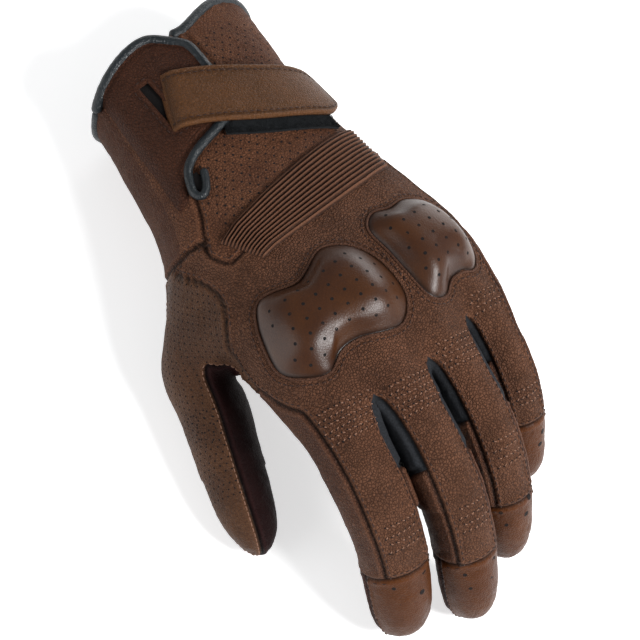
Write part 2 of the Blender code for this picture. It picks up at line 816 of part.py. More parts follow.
def strap_hinge(skin):
    """Point and direction of the strap's fold line, along the slot."""
    first = strap_rows(skin, [0.0], lambda share: STRAP_HEIGHT[0] + STRAP_THICK / 2, 0.0, STRAP_WIDTH)[0]
    return (first[0][0] + first[-1][0]) / 2, unit(first[-1][0] - first[0][0])


def cuff_line(skin):
    """Points of the skin's open edge at the cuff, in order round it."""
    edges = dict(open_edges(skin.faces))
    start = min(edges, key=lambda v: skin.points[v][1])
    order, v = [start], edges[start]
    while v != start:
        order.append(v)
        v = edges[v]
    return order


def cuff_binding_solid(skin):
    """Piping round the cuff's edge, from under the flap's far edge round to its near edge."""
    order = cuff_line(skin)
    around = []
    for v in order:
        p = skin.points[v]
        angle = math.degrees(math.atan2(p[2], p[0] - 3.0)) % 360
        around.append((angle, p - skin.normals[v] * 0.7 + np.array((0.0, -PIPING - 0.35, 0.0))))
    around.sort(key=lambda item: item[0])
    path = [p for angle, p in around if angle > FLAP_TO + 11]
    path += [p for angle, p in around if angle < FLAP_FROM - 9]
    return tube_solid(path, PIPING)


def flap_binding_solid(skin):
    """Piping round the flap's free edges, ending at the foot of the slit."""
    path = []
    middle = LIFT + FLAP_THICK / 2
    off = PIPING + 0.9

    def at(angle, y):
        spot, normal = skin.past_cuff(angle, y)
        return spot + normal * (PIPING + 0.5)

    for angle in (15, 22, 30, 40, 50, 60, 70, 79, 88, 96, 102):
        path.append(at(angle, spread(FLAP_EDGES, angle)[0] - off))
    for y in (-38, -34, -28, -21, -15, -10, -7.5):
        path.append(at(FLAP_TO + 7.0, y))
    for angle in (102, 96, 88, 79, 70, 60, 52, 45, 41):
        path.append(at(angle, spread(FLAP_EDGES, angle)[1] + off + 0.3))
    return tube_solid(path, PIPING)


def slit_binding_solid(skin):
    """A closed loop of piping round the tear-drop foot of the slit."""
    path = []
    for k in range(14):
        a = 2 * math.pi * k / 14
        angle = 35 + 4.6 * math.cos(a)
        y = 11.5 + 3.6 * math.sin(a)
        path.append(skin.wrap(angle, y, LIFT + PIPING + 0.1))
    return tube_solid(path, PIPING - 0.3, closed=True)


def heel_pad_solid(skin, tilt):
    """The pad on the heel of the palm; its underside is one flat face parallel to the rest plane."""
    outline = rounded(HEEL_PAD, 20)
    centre = sum(outline) / len(outline)
    rings = (1.0, 0.9, 0.6, 0.3)
    tops = {}
    lowest = 1e9
    for share in (*rings, 0.0):
        for x, y in outline:
            px = centre[0] + (x - centre[0]) * share
            py = centre[1] + (y - centre[1]) * share
            tops[(px, py)] = skin.drop(px, py, LIFT, below=True)
            lowest = min(lowest, (tilt @ tops[(px, py)])[2])
    flat = lowest - HEEL_DROP

    def pair(x, y, share):
        top = skin.drop(x, y, LIFT, below=True)
        tipped = tilt @ top
        if share == 1.0:
            tipped[2] = min(tipped[2] - 1.6, flat + 1.4)
        else:
            tipped[2] = flat
        return tilt.T @ tipped, top

    return disc_solid(outline, rings, centre, pair)


# ---------------------------------------------------------------- build


def hinges():
    """Name of each moving body -> (point on its axis, direction of the axis)."""
    out = {}
    for name, f in FINGERS.items():
        line = finger_line(name)
        root = line((ROOT_AT + ROOT_ZONE / 2) * f["reach"])
        middle = line(f["bones"][0])
        out[f"{name}_base"] = (root[0], root[2])
        out[f"{name}_tip"] = (middle[0], middle[2])
    for body, s in zip(("thumb_middle", "thumb_tip"), THUMB_HINGES):
        out[body] = thumb_at(s)[:2]
    return out


def material(name, look):
    colour, roughness, metallic = look
    made = bpy.data.materials.new(name)
    made.use_nodes = True
    shader = made.node_tree.nodes["Principled BSDF"]
    shader.inputs["Base Color"].default_value = (*colour, 1.0)
    shader.inputs["Roughness"].default_value = roughness
    shader.inputs["Metallic"].default_value = metallic
    made.diffuse_color = (*colour, 1.0)
    return made


def make(name, solid, look, tilt, shift, pivot=None):
    """One closed object in metres, with its origin on its hinge if it has one."""
    points, faces = solid
    origin = shift if pivot is None else tilt @ pivot + shift
    local = [tuple((tilt @ p + shift - origin) * MM) for p in points]
    mesh = bpy.data.meshes.new(name)
    mesh.from_pydata(local, [], faces)
    mesh.materials.append(material(name, look))
    obj = bpy.data.objects.new(name, mesh)
    obj.location = Vector(origin) * MM
    bpy.context.scene.collection.objects.link(obj)
    return obj


def look_of(name):
    if name.startswith("gusset") or name == "thumb_base_palm":
        return STRETCH
    if "tip_cap" in name or name in ("thumb_base_back", "thumb_middle_back", "thumb_tip_back"):
        return SMOOTH
    if "palm" in name or name.startswith("thumb"):
        return DARK
    return GRAINED


def main():
    for old in list(bpy.data.objects):
        bpy.data.objects.remove(old)
    skin = Skin()
    pitch = math.radians(REST_PITCH)
    tilt = np.array(
        ((1, 0, 0), (0, math.cos(pitch), -math.sin(pitch)), (0, math.sin(pitch), math.cos(pitch)))
    )
    pivots = hinges()

    solids = {}
    for name in sorted(set(skin.panels)):
        solids[name] = (panel_solid(skin, name), look_of(name))
    cuff = [f for f in skin.faces if max(skin.points[v][1] for v in f) < -20]
    solids["cuff_lining"] = (shell_solid(skin, cuff, LINING, LEATHER + 0.45, SEAM_GAP), LINER)
    cover, shell = guard_solids(skin, WIDE_GUARD)
    solids["guard_index_middle_cover"] = (cover, SMOOTH)
    solids["guard_index_middle_shell"] = (shell, SHELL)
    cover, shell = guard_solids(skin, NARROW_GUARD)
    solids["guard_ring_little_cover"] = (cover, SMOOTH)
    solids["guard_ring_little_shell"] = (shell, SHELL)
    solids["ribbed_band"] = (band_solid(skin), GRAINED)
    solids["wrist_flap"] = (flap_solid(skin), DARK)
    strap, hook, loop = strap_solids(skin)
    solids["strap"] = (strap, SMOOTH)
    solids["strap_hook_pad"] = (hook, HOOK_AND_LOOP)
    solids["loop_pad"] = (loop, HOOK_AND_LOOP)
    solids["cuff_piping"] = (cuff_binding_solid(skin), BLACK_LEATHER)
    solids["flap_piping"] = (flap_binding_solid(skin), BLACK_LEATHER)
    solids["slit_piping"] = (slit_binding_solid(skin), BLACK_LEATHER)
    solids["palm_heel_pad"] = (heel_pad_solid(skin, tilt), DARK)

    everything = np.array([tilt @ p for (points, _), _ in solids.values() for p in points])
    low, high = everything.min(0), everything.max(0)
    shift = np.array((-(low[0] + high[0]) / 2, -(low[1] + high[1]) / 2, -low[2]))
    strap_point = strap_hinge(skin)[0]
    for name, (solid, look) in solids.items():
        pivot = strap_point if name in ("strap", "strap_hook_pad") else None
        for body, (point, _) in pivots.items():
            finger, part = body.split("_")
            if name.startswith(f"{finger}_{part}") or (name == f"{finger}_joint_sleeve" and part != "tip"):
                pivot = point
        make(name, solid, look, tilt, shift, pivot)


main()
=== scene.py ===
"""The look of the left riding glove: its leather, seams, stitches, holes and trim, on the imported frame."""

import json
import math
import random

import bpy
import numpy as np
from mathutils import Matrix, Vector, kdtree, noise
from mathutils.bvhtree import BVHTree


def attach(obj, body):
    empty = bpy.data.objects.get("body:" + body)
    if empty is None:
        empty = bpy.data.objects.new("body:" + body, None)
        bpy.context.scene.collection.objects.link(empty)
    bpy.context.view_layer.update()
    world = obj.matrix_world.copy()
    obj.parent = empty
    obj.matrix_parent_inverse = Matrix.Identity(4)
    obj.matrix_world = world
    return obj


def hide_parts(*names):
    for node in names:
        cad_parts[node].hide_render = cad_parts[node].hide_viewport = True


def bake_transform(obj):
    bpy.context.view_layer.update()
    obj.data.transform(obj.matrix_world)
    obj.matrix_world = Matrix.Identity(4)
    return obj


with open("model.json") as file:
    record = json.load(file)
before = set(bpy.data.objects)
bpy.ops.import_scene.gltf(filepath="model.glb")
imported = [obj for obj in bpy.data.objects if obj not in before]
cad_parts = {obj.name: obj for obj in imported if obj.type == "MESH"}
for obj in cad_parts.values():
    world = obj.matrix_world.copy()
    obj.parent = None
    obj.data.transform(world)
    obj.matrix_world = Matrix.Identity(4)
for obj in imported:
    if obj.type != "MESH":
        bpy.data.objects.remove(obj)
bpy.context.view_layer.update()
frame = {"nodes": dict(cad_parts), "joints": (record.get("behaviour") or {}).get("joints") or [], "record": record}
JOINTS = {j["name"]: j for j in frame["joints"]}
MM = 0.001
random.seed(7)

# Lengths are in millimetres of the hand's own frame: x towards the thumb, y towards the fingertips,
# z out of the back. TILT and SHIFT, below, take them to the world.
REST_PITCH = 12.2  # degrees that the hand is tipped by where it lies on cuff and fingertips
LIFT = 0.75  # clearance under anything laid on the skin
SUBDIVISION = 4
WRIST_MIDDLE = 3.0  # x of the axis that angles round the wrist are measured about
CUFF_END = -37.5  # trim that reaches past this y carries on straight

# Hand stations from cuff to finger roots: y, half width, back height, palm depth, centre x, centre z,
# and how much of the dorsal slant the station takes.
STATIONS = [
    (-42.0, 37.0, 22.0, 20.5, -1.0, 0.0, 0.0),
    (-28.0, 37.0, 21.5, 20.0, 0.5, 0.0, 0.3),
    (-13.0, 37.5, 20.5, 19.5, 3.0, 0.0, 0.6),
    (2.0, 38.5, 20.0, 20.5, 4.0, 0.0, 0.8),
    (17.0, 41.5, 19.5, 23.0, 5.0, 0.0, 1.0),
    (33.0, 44.0, 19.5, 26.0, 4.5, 0.0, 1.0),
    (62.0, 48.0, 19.5, 24.0, 3.0, 1.0, 0.4),
    (84.0, 50.0, 17.0, 19.0, 2.5, 2.0, 0.0),
]
CUFF_LOBES = (3, 1, -3, -7, -7, -1, -4, -8, -9, -7, -3, 0, 0, 0, 0, 0, 0, 0, 1, 2)  # edge y by column
DORSAL_SLANT = 0.17  # the wrist seams run further forward on the thumb side
ACROSS = (0.93, 0.72, 0.48, 0.24, 0.0, -0.24, -0.48, -0.72, -0.93)  # columns, thumb side first
ROUNDNESS = 2.6  # superellipse exponent of the hand's sections
KNUCKLE_RISE = 1.6  # every second column of the knuckle row stands this much proud
KNUCKLE_SAG = 3.0  # the knuckle row drops this much towards its ends, and draws back six times as far
KNUCKLE_OUTER = 11.2  # its little-finger end lies this much further back

# The ball of the thumb: what it adds to palm points, by (station, column from the thumb side).
THENAR = {
    (3, 0): (0, -1, -2),
    (4, 0): (0, -3, -5),
    (4, 1): (0, 0, -2),
    (5, 0): (1, 2, -11),
    (5, 1): (1, 2, -7),
    (5, 2): (0, 0, -3),
    (6, 0): (0, 3, -6),
    (6, 1): (0, 2, -3),
    (7, 0): (0, 0, -2),
}

# Column numbers around a hand station.
SIDE_IN, SIDE_OUT = 0, 10
BACK_FIRST, PALM_FIRST = 1, 11
COLUMNS = 20

# Fingers: knuckle position, phalanx lengths, splay, bends at knuckle, middle and end joint,
# half width, half height, and the scale of its lengths along it. The webs are in WEB_CORNERS.
FINGERS = {
    "index": dict(
        at=(36.2, 84, 2), bones=(46, 27, 29), splay=4.6, bend=(17, 34, 20), wide=13.2, high=12.4, reach=1.0
    ),
    "middle": dict(
        at=(11.5, 88, 5), bones=(50, 31, 28), splay=4.4, bend=(20, 34, 20), wide=12.0, high=12.4, reach=1.0
    ),
    "ring": dict(
        at=(-12, 84, 3), bones=(46, 29, 26), splay=4.4, bend=(21, 34, 20), wide=11.5, high=11.8, reach=1.0
    ),
    "little": dict(
        at=(-33, 77, -1), bones=(37, 21, 27), splay=4.4, bend=(21, 33, 18), wide=10.4, high=10.6, reach=0.86
    ),
}
ROOT_AT = 17.0  # from the knuckle to the ring where a finger leaves the hand, times its reach
ROOT_ZONE = 12.0  # length of the leather that folds at the root of a finger, times its reach
JOINT_ZONE = 13.0  # length that folds at the middle joint, times its reach
WEB_CORNERS = ((49, 100.0), (24.5, 102.0), (0.5, 99.5), (-22, 92.5), (-42.5, 90.0))  # x, y on the back
WEB_PALM_SHIFT = 8.0  # the webs reach further forward on the palm side
BACK_ARC = 45.0  # a finger's corners lie this far round from its sides
CAGE_SWELL = 1.085  # a subdivided ring shrinks, so the cage is drawn this much larger

# Thumb: ring centres, half sizes. It grows from the hand between stations 4 and 6.
THUMB_ROWS = (4, 6)
THUMB_KNUCKLE = (55.0, 59.5, -28.0)
THUMB_TIP = (73.5, 111.4, -44.0)
THUMB_NAIL = (0.80, 0.0, 0.60)
THUMB_WIDE, THUMB_HIGH = 12.2, 12.6
# Rings along the thumb from its knuckle, and the girth share of each.
THUMB_STOPS = (
    (-10.0, 1.14),
    (0.0, 1.04),
    (16.0, 0.96),
    (27.0, 0.93),
    (36.0, 0.89),
    (45.0, 0.79),
    (51.0, 0.59),
    (54.6, 0.32),
)
THUMB_END = 56.5
THUMB_ARC = (-0.0012, 0.0, -0.0010)  # how the thumb curves, per square millimetre along it
THUMB_LEAN = (0.41, -0.055, -0.055)  # its first ring is tipped this way to meet the hand
THUMB_STEP = (4.0, -1.0, 0.0)  # and moved this way


def unit(v):
    return v / np.linalg.norm(v)


def bell(x, middle, width):
    """1 at the middle, falling to nothing a few widths away."""
    return np.exp(-(((x - middle) / width) ** 2))


def smoothstep(low, high, x):
    """0 below low, 1 above high, and a smooth rise between."""
    t = min(1.0, max(0.0, (x - low) / (high - low)))
    return t * t * (3 - 2 * t)


# ---------------------------------------------------------------- the control cage


def station_ring(row):
    """The 20 cage points of one hand station: thumb side, back, little-finger side, palm."""
    y, half, back, palm, cx, cz, slant = STATIONS[row]
    knuckle_row = row == len(STATIONS) - 1

    def rise(i, height):
        f = abs(ACROSS[i])
        return height * (1 - f**ROUNDNESS) ** (1 / ROUNDNESS)

    dorsal, palmar = [], []
    for i, f in enumerate(ACROSS):
        x = cx + f * half
        forward = slant * DORSAL_SLANT * f * half
        bump = KNUCKLE_RISE * (1 if i % 2 else -0.6) if knuckle_row else 0.0
        sag = -KNUCKLE_SAG * abs(f - 0.1) ** 2 if knuckle_row else 0.0
        dorsal.append((x, y + forward + 6 * sag, cz + rise(i, back) + bump + sag))
        more = THENAR.get((row, i), (0, 0, 0))
        palmar.append((x + more[0], y + 6 * sag + more[1], cz - rise(i, palm) + more[2]))
    lead = slant * DORSAL_SLANT * half * 0.6
    side_in = (cx + half, y + lead, cz + THENAR.get((row, 0), (0, 0, 0))[2] * 0.4)
    side_out = (cx - half, y - lead - (KNUCKLE_OUTER if knuckle_row else 0.0), cz)
    ring = [side_in, *dorsal, side_out, *reversed(palmar)]
    if row == 0:
        ring = [(x, y + lobe, z) for (x, y, z), lobe in zip(ring, CUFF_LOBES)]
    return ring


def finger_line(name):
    """Returns a function s -> (centre, along, towards thumb, out of the nail) for a finger."""
    f = FINGERS[name]
    a, b, _ = f["bones"]
    splay = math.radians(f["splay"])
    step = 0.5
    total = sum(f["bones"]) + 6
    centres, angles = [np.array(f["at"], float)], []
    for k in range(int(total / step) + 1):
        s = k * step
        angle = f["bend"][0] * smoothstep(-14, 16, s) + f["bend"][1] * smoothstep(a - 12, a + 12, s)
        angle += f["bend"][2] * smoothstep(a + b - 10, a + b + 10, s)
        angles.append(math.radians(angle))
        along = along_of(splay, angles[-1])
        centres.append(centres[-1] + step * along)

    def at(s):
        k = min(int(s / step), len(angles) - 2)
        t = s / step - k
        centre = centres[k] * (1 - t) + centres[k + 1] * t
        along = along_of(splay, angles[k] * (1 - t) + angles[k + 1] * t)
        inwards = np.array((math.cos(splay), -math.sin(splay), 0.0))
        return centre, along, inwards, np.cross(inwards, along)

    return at


def along_of(splay, angle):
    return np.array(
        (math.sin(splay) * math.cos(angle), math.cos(splay) * math.cos(angle), -math.sin(angle))
    )


def finger_stops(name):
    """Distances from the knuckle to a finger's cage rings, and the girth share of each."""
    a, b, c = FINGERS[name]["bones"]
    reach = FINGERS[name]["reach"]
    end = a + b + c
    return [
        ((ROOT_AT + ROOT_ZONE) * reach, 0.95),
        (a - JOINT_ZONE * reach / 2, 0.96),
        (a + JOINT_ZONE * reach / 2, 0.97),
        (a + b * 0.50, 0.93),
        (a + b * 0.80, 0.92),
        (end - 14, 0.88),
        (end - 5.5, 0.70),
        (end - 1.2, 0.38),
    ]


def ring_points(centre, inwards, nail, wide, high, start=0.0):
    """Eight cage points around a tube: thumb side, back corner, back middle, and on round."""
    points = []
    for k in range(8):
        angle = math.radians(start + k * BACK_ARC)
        reach = wide * math.cos(angle) * inwards + high * math.sin(angle) * nail
        points.append(centre + CAGE_SWELL * reach)
    return points


class Cage:
    """The quads of the whole skin with the name of the panel that each belongs to."""

    def __init__(self):
        self.points, self.faces, self.names = [], [], []

    def add(self, point):
        self.points.append(tuple(float(x) for x in point))
        return len(self.points) - 1

    def face(self, corners, name, segment=9, column=0):
        self.faces.append(corners)
        self.names.append(f"{name}|{leather_of(name, segment, column)}")

    def tube(self, first, rings, namer):
        """Quads from ring to ring; namer(segment, column) names them. Returns the last ring."""
        for j, ring in enumerate(rings):
            for k in range(8):
                n = (k + 1) % 8
                self.face((first[k], ring[k], ring[n], first[n]), namer(j, k), j, k)
            first = ring
        return first


def hand_panel(row, column):
    """The panel that a hand face belongs to; None where the thumb grows out."""
    around_thumb = column in (COLUMNS - 1, 0)
    on_back = BACK_FIRST <= column < BACK_FIRST + 8
    if THUMB_ROWS[0] <= row < THUMB_ROWS[1] and around_thumb:
        return None
    if row < 4:
        if on_back or column == 9:
            return "wrist_back_panel"
        return "wrist_palm_panel"
    if row == 4 and (on_back or column == 9):
        return "wrist_back_panel"
    if around_thumb:
        return "thumb_saddle_panel"
    if on_back:
        return "back_panel"
    return "outer_side_panel" if column in (9, 10) else "palm_panel"


def finger_namer(name, number):
    """Names a finger's quads: segment 0 is its root, 1 straight, 2 the middle joint, the rest its tip."""
    inner = f"{name}_root_palm" if number == 0 else f"{gusset_name(number - 1)}@{name}"
    outer = f"{name}_root_palm" if number == 3 else f"{gusset_name(number)}@{name}"

    def namer(segment, column):
        back, palm = column in (1, 2), column in (5, 6)
        if segment == 0:
            if back:
                return f"{name}_root_back"
            if palm:
                return f"{name}_root_palm"
            return inner if column in (0, 7) else outer
        if segment == 1:
            if back or palm:
                return f"{name}_base_back" if back else f"{name}_base_palm"
            side = inner if column in (0, 7) else outer
            return f"{name}_base_palm" if side == f"{name}_root_palm" else side
        if segment == 2:
            return f"{name}_joint_sleeve"
        return f"{name}_tip_back" if back and segment in (3, 4) else f"{name}_tip_cap"

    return namer


def gusset_name(pair):
    names = list(FINGERS)
    return f"gusset_{names[pair]}_{names[pair + 1]}"


def thumb_namer(segment, column):
    nail_side = column in (1, 2, 3, 4)
    if segment == 0:
        return "thumb_base_back" if nail_side else "thumb_base_palm"
    if segment == 1:
        return "thumb_root_sleeve"
    if segment == 2:
        return "thumb_middle_back" if nail_side else "thumb_middle_palm"
    if segment == 3:
        return "thumb_joint_sleeve"
    return "thumb_tip_back" if nail_side else "thumb_tip_palm"


def build_cage():
    cage = Cage()
    rows = [[cage.add(p) for p in station_ring(r)] for r in range(len(STATIONS))]

    # The root row, where the fingers leave: its back and palm points are shared by neighbours.
    lines = {name: finger_line(name) for name in FINGERS}
    roots = {name: lines[name](ROOT_AT * FINGERS[name]["reach"]) for name in FINGERS}
    back, palm = [], []
    for i, name in enumerate(FINGERS):
        centre, along, inwards, nail = roots[name]
        high = FINGERS[name]["high"]
        corner = WEB_CORNERS[i]
        level = centre if i == 0 else (centre + roots[list(FINGERS)[i - 1]][0]) / 2
        back.append((corner[0], corner[1], level[2] + high * 0.80))
        palm.append((corner[0], corner[1] + WEB_PALM_SHIFT, level[2] - high * 0.62))
        back.append(tuple(centre + nail * high * 1.12))
        palm.append(tuple(centre + along * 2 - nail * high * 1.08))
    corner = WEB_CORNERS[4]
    back.append((corner[0], corner[1], centre[2] + high * 0.72))
    palm.append((corner[0], corner[1] + WEB_PALM_SHIFT * 0.5, centre[2] - high * 0.6))
    side_in = (51.5, 102.0, roots["index"][0][2] + 1)
    side_out = (-45.0, 93.0, roots["little"][0][2])
    root_row = [cage.add(p) for p in (side_in, *back, side_out, *reversed(palm))]
    rows.append(root_row)
    web_middles = []
    for i in (1, 2, 3):
        x, y = WEB_CORNERS[i]
        z = (back[2 * i][2] + palm[2 * i][2]) / 2
        web_middles.append(cage.add((x, y + WEB_PALM_SHIFT * 0.35, z)))

    for r in range(len(rows) - 1):
        for c in range(COLUMNS):
            name = hand_panel(r, c)
            if name:
                n = (c + 1) % COLUMNS
                cage.face((rows[r][c], rows[r + 1][c], rows[r + 1][n], rows[r][n]), name)

    for i, name in enumerate(FINGERS):
        backs = [root_row[BACK_FIRST + 2 * i + k] for k in range(3)]
        palms = [root_row[PALM_FIRST + 8 - 2 * i - k] for k in range(3)]
        inner = root_row[SIDE_IN] if i == 0 else web_middles[i - 1]
        outer = root_row[SIDE_OUT] if i == 3 else web_middles[i]
        first = [inner, *backs, outer, *reversed(palms)]
        f = FINGERS[name]
        rings = []
        for s, girth in finger_stops(name):
            centre, along, inwards, nail = lines[name](s)
            ring = ring_points(centre, inwards, nail, f["wide"] * girth, f["high"] * girth)
            rings.append([cage.add(p) for p in ring])
        last = cage.tube(first, rings, finger_namer(name, i))
        tip = cage.add(lines[name](sum(f["bones"]))[0])
        for k in range(8):
            cage.face((last[k], tip, last[(k + 1) % 8]), f"{name}_tip_cap", 9, k)

    add_thumb(cage, rows)
    return cage


def thumb_at(s):
    """(centre, towards palm-and-thumb side, nail side, along) of the thumb, s from its knuckle."""
    along = unit(np.array(THUMB_TIP) - np.array(THUMB_KNUCKLE))
    nail = unit(np.array(THUMB_NAIL) - along * (np.array(THUMB_NAIL) @ along))
    root = smoothstep(-2.0, 10.0, -s)
    centre = np.array(THUMB_KNUCKLE) + along * s + np.array(THUMB_ARC) * max(0.0, s) ** 2
    centre = centre + np.array(THUMB_STEP) * root
    along = unit(along + np.array(THUMB_LEAN) * root)
    lateral = unit(np.cross(nail, -along))
    return centre, lateral, np.cross(lateral, along), along


def add_thumb(cage, rows):
    low, high = THUMB_ROWS
    mid = low + 1
    top, side, bottom = BACK_FIRST, SIDE_IN, COLUMNS - 1
    first = [
        rows[low][bottom],
        rows[low][side],
        rows[low][top],
        rows[mid][top],
        rows[high][top],
        rows[high][side],
        rows[high][bottom],
        rows[mid][bottom],
    ]
    rings = []
    for s, girth in THUMB_STOPS:
        centre, lateral, nail, _ = thumb_at(s)
        ring = ring_points(centre, lateral, nail, THUMB_WIDE * girth, THUMB_HIGH * girth, -BACK_ARC)
        rings.append([cage.add(p) for p in ring])
    last = cage.tube(first, rings, thumb_namer)
    tip = cage.add(thumb_at(THUMB_END)[0])
    for k in range(8):
        name = "thumb_tip_back" if k in (1, 2, 3, 4) else "thumb_tip_palm"
        cage.face((last[k], tip, last[(k + 1) % 8]), name, 9, k)


def rounded(corners, count):
    """A closed smooth curve through the corners, with evenly shared points."""
    n = len(corners)
    p = [np.array(c, float) for c in corners]
    dense = []
    for k in range(n):
        a, b, c, d = p[k - 1], p[k], p[(k + 1) % n], p[(k + 2) % n]
        for j in range(12):
            t = j / 12
            bow = (2 * a - 5 * b + 4 * c - d) * t**2 + (3 * b - a - 3 * c + d) * t**3
            dense.append(0.5 * (2 * b + (c - a) * t + bow))
    lengths = [0.0]
    for k in range(len(dense)):
        lengths.append(lengths[-1] + np.linalg.norm(dense[(k + 1) % len(dense)] - dense[k]))
    out, k = [], 0
    for j in range(count):
        want = lengths[-1] * j / count
        while lengths[k + 1] < want:
            k += 1
        t = (want - lengths[k]) / (lengths[k + 1] - lengths[k])
        out.append(dense[k] * (1 - t) + dense[(k + 1) % len(dense)] * t)
    return out


# Outlines of the two knuckle guards on the back of the hand, x and y.
WIDE_GUARD = (
    (37, 57), (25, 60), (19, 58), (11, 54), (3, 57), (-2, 64), (-4, 74), (-3, 84),
    (3, 90), (11, 90), (20, 87), (27, 87), (34, 91), (41, 88), (46, 81), (45, 71), (42, 62),
)
NARROW_GUARD = (
    (-27, 52), (-20, 53), (-13, 52), (-8, 57), (-8.5, 67), (-9, 77), (-11, 87),
    (-17, 88.5), (-23, 84), (-29, 83), (-34, 84), (-38.5, 79), (-39.5, 71), (-38, 62), (-34, 55),
)
GUARD_RISE = 4.2  # height of a guard's dome over its rim
COVER = 1.2  # thickness of the leather over a guard's shell

# Ribbed stretch band between wrist and back: x, upper y, lower y.
BAND = (
    (35.0, 31.6, 45.8),
    (28, 28.6, 44.6),
    (12, 24.5, 43.5),
    (-4, 21.0, 42.0),
    (-19, 18.0, 40.0),
    (-33, 15.5, 37.0),
)
BAND_RIBS = 13
BAND_SLANT = 7.5  # the band's thumb end is cut this far aslant
RIB_ROWS = 8  # rows of faces to a rib
BAND_COLUMNS = 90

# Closure: a flap on the thumb side laps over the back; the strap leaves through its slot.
FLAP_FROM, FLAP_TO = 14.0, 101.0  # angles round the wrist
FLAP_THICK = 1.3
SLOT = (45.0, 52.0, -33.0, -12.0)  # angles and y of the slot in the flap
STRAP_START, STRAP_END = 50.0, 171.0
STRAP_WIDTH = 23.0
STRAP_THICK = 2.2
STRAP_Y = (-22.5, 3.0)  # y of the strap's middle at its start and end
STRAP_HEIGHT = (2.75, 4.0)  # clearance over the skin at its start and under the hook pad
LOOP_PAD = 1.2  # thickness
HOOK_PAD = 0.9

# Flat pad on the heel of the palm.
HEEL_PAD = (
    (26, 4), (30, 16), (27, 30), (14, 37), (-4, 37),
    (-20, 33), (-27, 22), (-25, 8), (-12, 2), (8, 1),
)
HEEL_DROP = 3.2  # depth of the pad's flat underside below the lowest palm skin under it


# ---------------------------------------------------------------- leather groups and the fine skin

HAND_LEATHER = {
    "back_panel": "back",
    "wrist_back_panel": "wrist",
    "wrist_palm_panel": "cuff_palm",
    "palm_panel": "palm",
    "thumb_saddle_panel": "thumb_back",
    "outer_side_panel": "side",
}


def leather_of(node, segment, column):
    """Which cut of leather a face is part of; seams run where two cuts meet."""
    if node in HAND_LEATHER:
        return HAND_LEATHER[node]
    if node.startswith("gusset"):
        return "gusset"
    if node.startswith("thumb"):
        return "thumb_back" if column in (1, 2, 3) else "thumb_dark"
    if segment >= 5:
        return "cap" if column in (0, 1, 2, 3) else "palm"
    if column in (1, 2):
        return "back"
    return "palm" if column in (5, 6) else "side"


# Where the back's leather ends on the thumb side: y, z; and where it ends against the wrist: y, x.
BACK_EDGE = (
    (19, -4), (26, 1), (30.6, 4.2), (34.5, 6.3), (39.3, 8.5), (44, 9.7), (48.2, 9.6), (51.5, 8.5), (55.5, 6),
    (59, 2.2), (63, -0.8), (67, -2.4), (72, -2.4), (77, -0.8), (84, 2), (92, 5), (98, 8.5), (102, 10.5),
)
WRIST_EDGE = ((25, 38), (32, 40), (38, 38), (44, 34))
DARK_TOP = ((48, -14), (56, -12), (59, -9.5), (66, -8.5), (73, -5.5), (80, -4))  # y, z
SADDLE = ("thumb_saddle_panel", "thumb_base_back", "thumb_base_palm", "back_panel")


def recut(node, leather, x, y, z):
    """The leather of a fine face, where the cuts don't follow the panels."""
    if node == "wrist_back_panel" and y > 25.5 and x > np.interp(y, *zip(*WRIST_EDGE)):
        leather = "back"
        if x < 42 or z > np.interp(y, *zip(*BACK_EDGE)):
            return leather
        return "thumb_back"
    if node in SADDLE and x > 38 and y > 19:
        if z > np.interp(y, *zip(*BACK_EDGE)):
            return "back"
        if node == "thumb_saddle_panel" and y > 76:
            return "side"
        if leather == "back" and y < 84 or leather == "thumb_dark" and z > np.interp(y, *zip(*DARK_TOP)):
            return "thumb_back"
    return leather


def fine_skin(cage, levels):
    """The cage subdivided: points, quads, and a key for every quad."""
    keys = sorted(set(cage.names))
    mesh = bpy.data.meshes.new("cage")
    mesh.from_pydata(cage.points, [], cage.faces)
    mesh.polygons.foreach_set("material_index", [keys.index(n) for n in cage.names])
    for _ in keys:
        mesh.materials.append(None)
    obj = bpy.data.objects.new("cage", mesh)
    bpy.context.scene.collection.objects.link(obj)
    modifier = obj.modifiers.new("smooth", "SUBSURF")
    modifier.levels = modifier.render_levels = levels
    modifier.quality = 4
    smooth = bpy.data.meshes.new_from_object(obj.evaluated_get(bpy.context.evaluated_depsgraph_get()))
    points = np.empty(len(smooth.vertices) * 3)
    smooth.vertices.foreach_get("co", points)
    corners = np.empty(len(smooth.loops), int)
    smooth.loops.foreach_get("vertex_index", corners)
    which = np.empty(len(smooth.polygons), int)
    smooth.polygons.foreach_get("material_index", which)
    bpy.data.objects.remove(obj)
    bpy.data.meshes.remove(mesh)
    bpy.data.meshes.remove(smooth)
    return points.reshape(-1, 3), corners.reshape(-1, 4), [keys[k] for k in which]


def point_normals(points, quads):
    total = np.zeros_like(points)
    flat = np.cross(points[quads[:, 2]] - points[quads[:, 0]], points[quads[:, 3]] - points[quads[:, 1]])
    for k in range(4):
        np.add.at(total, quads[:, k], flat)
    return total / np.maximum(np.linalg.norm(total, axis=1, keepdims=True), 1e-12)


def face_normal_points(points, faces):
    """Normals for a mesh of mixed faces."""
    total = np.zeros_like(points)
    for face in faces:
        p = points[list(face)]
        flat = np.cross(p[1] - p[0], p[2] - p[0])
        if len(face) > 3:
            flat = flat + np.cross(p[2] - p[0], p[3] - p[0])
        for v in face:
            total[v] += flat
    return total / np.maximum(np.linalg.norm(total, axis=1, keepdims=True), 1e-12)


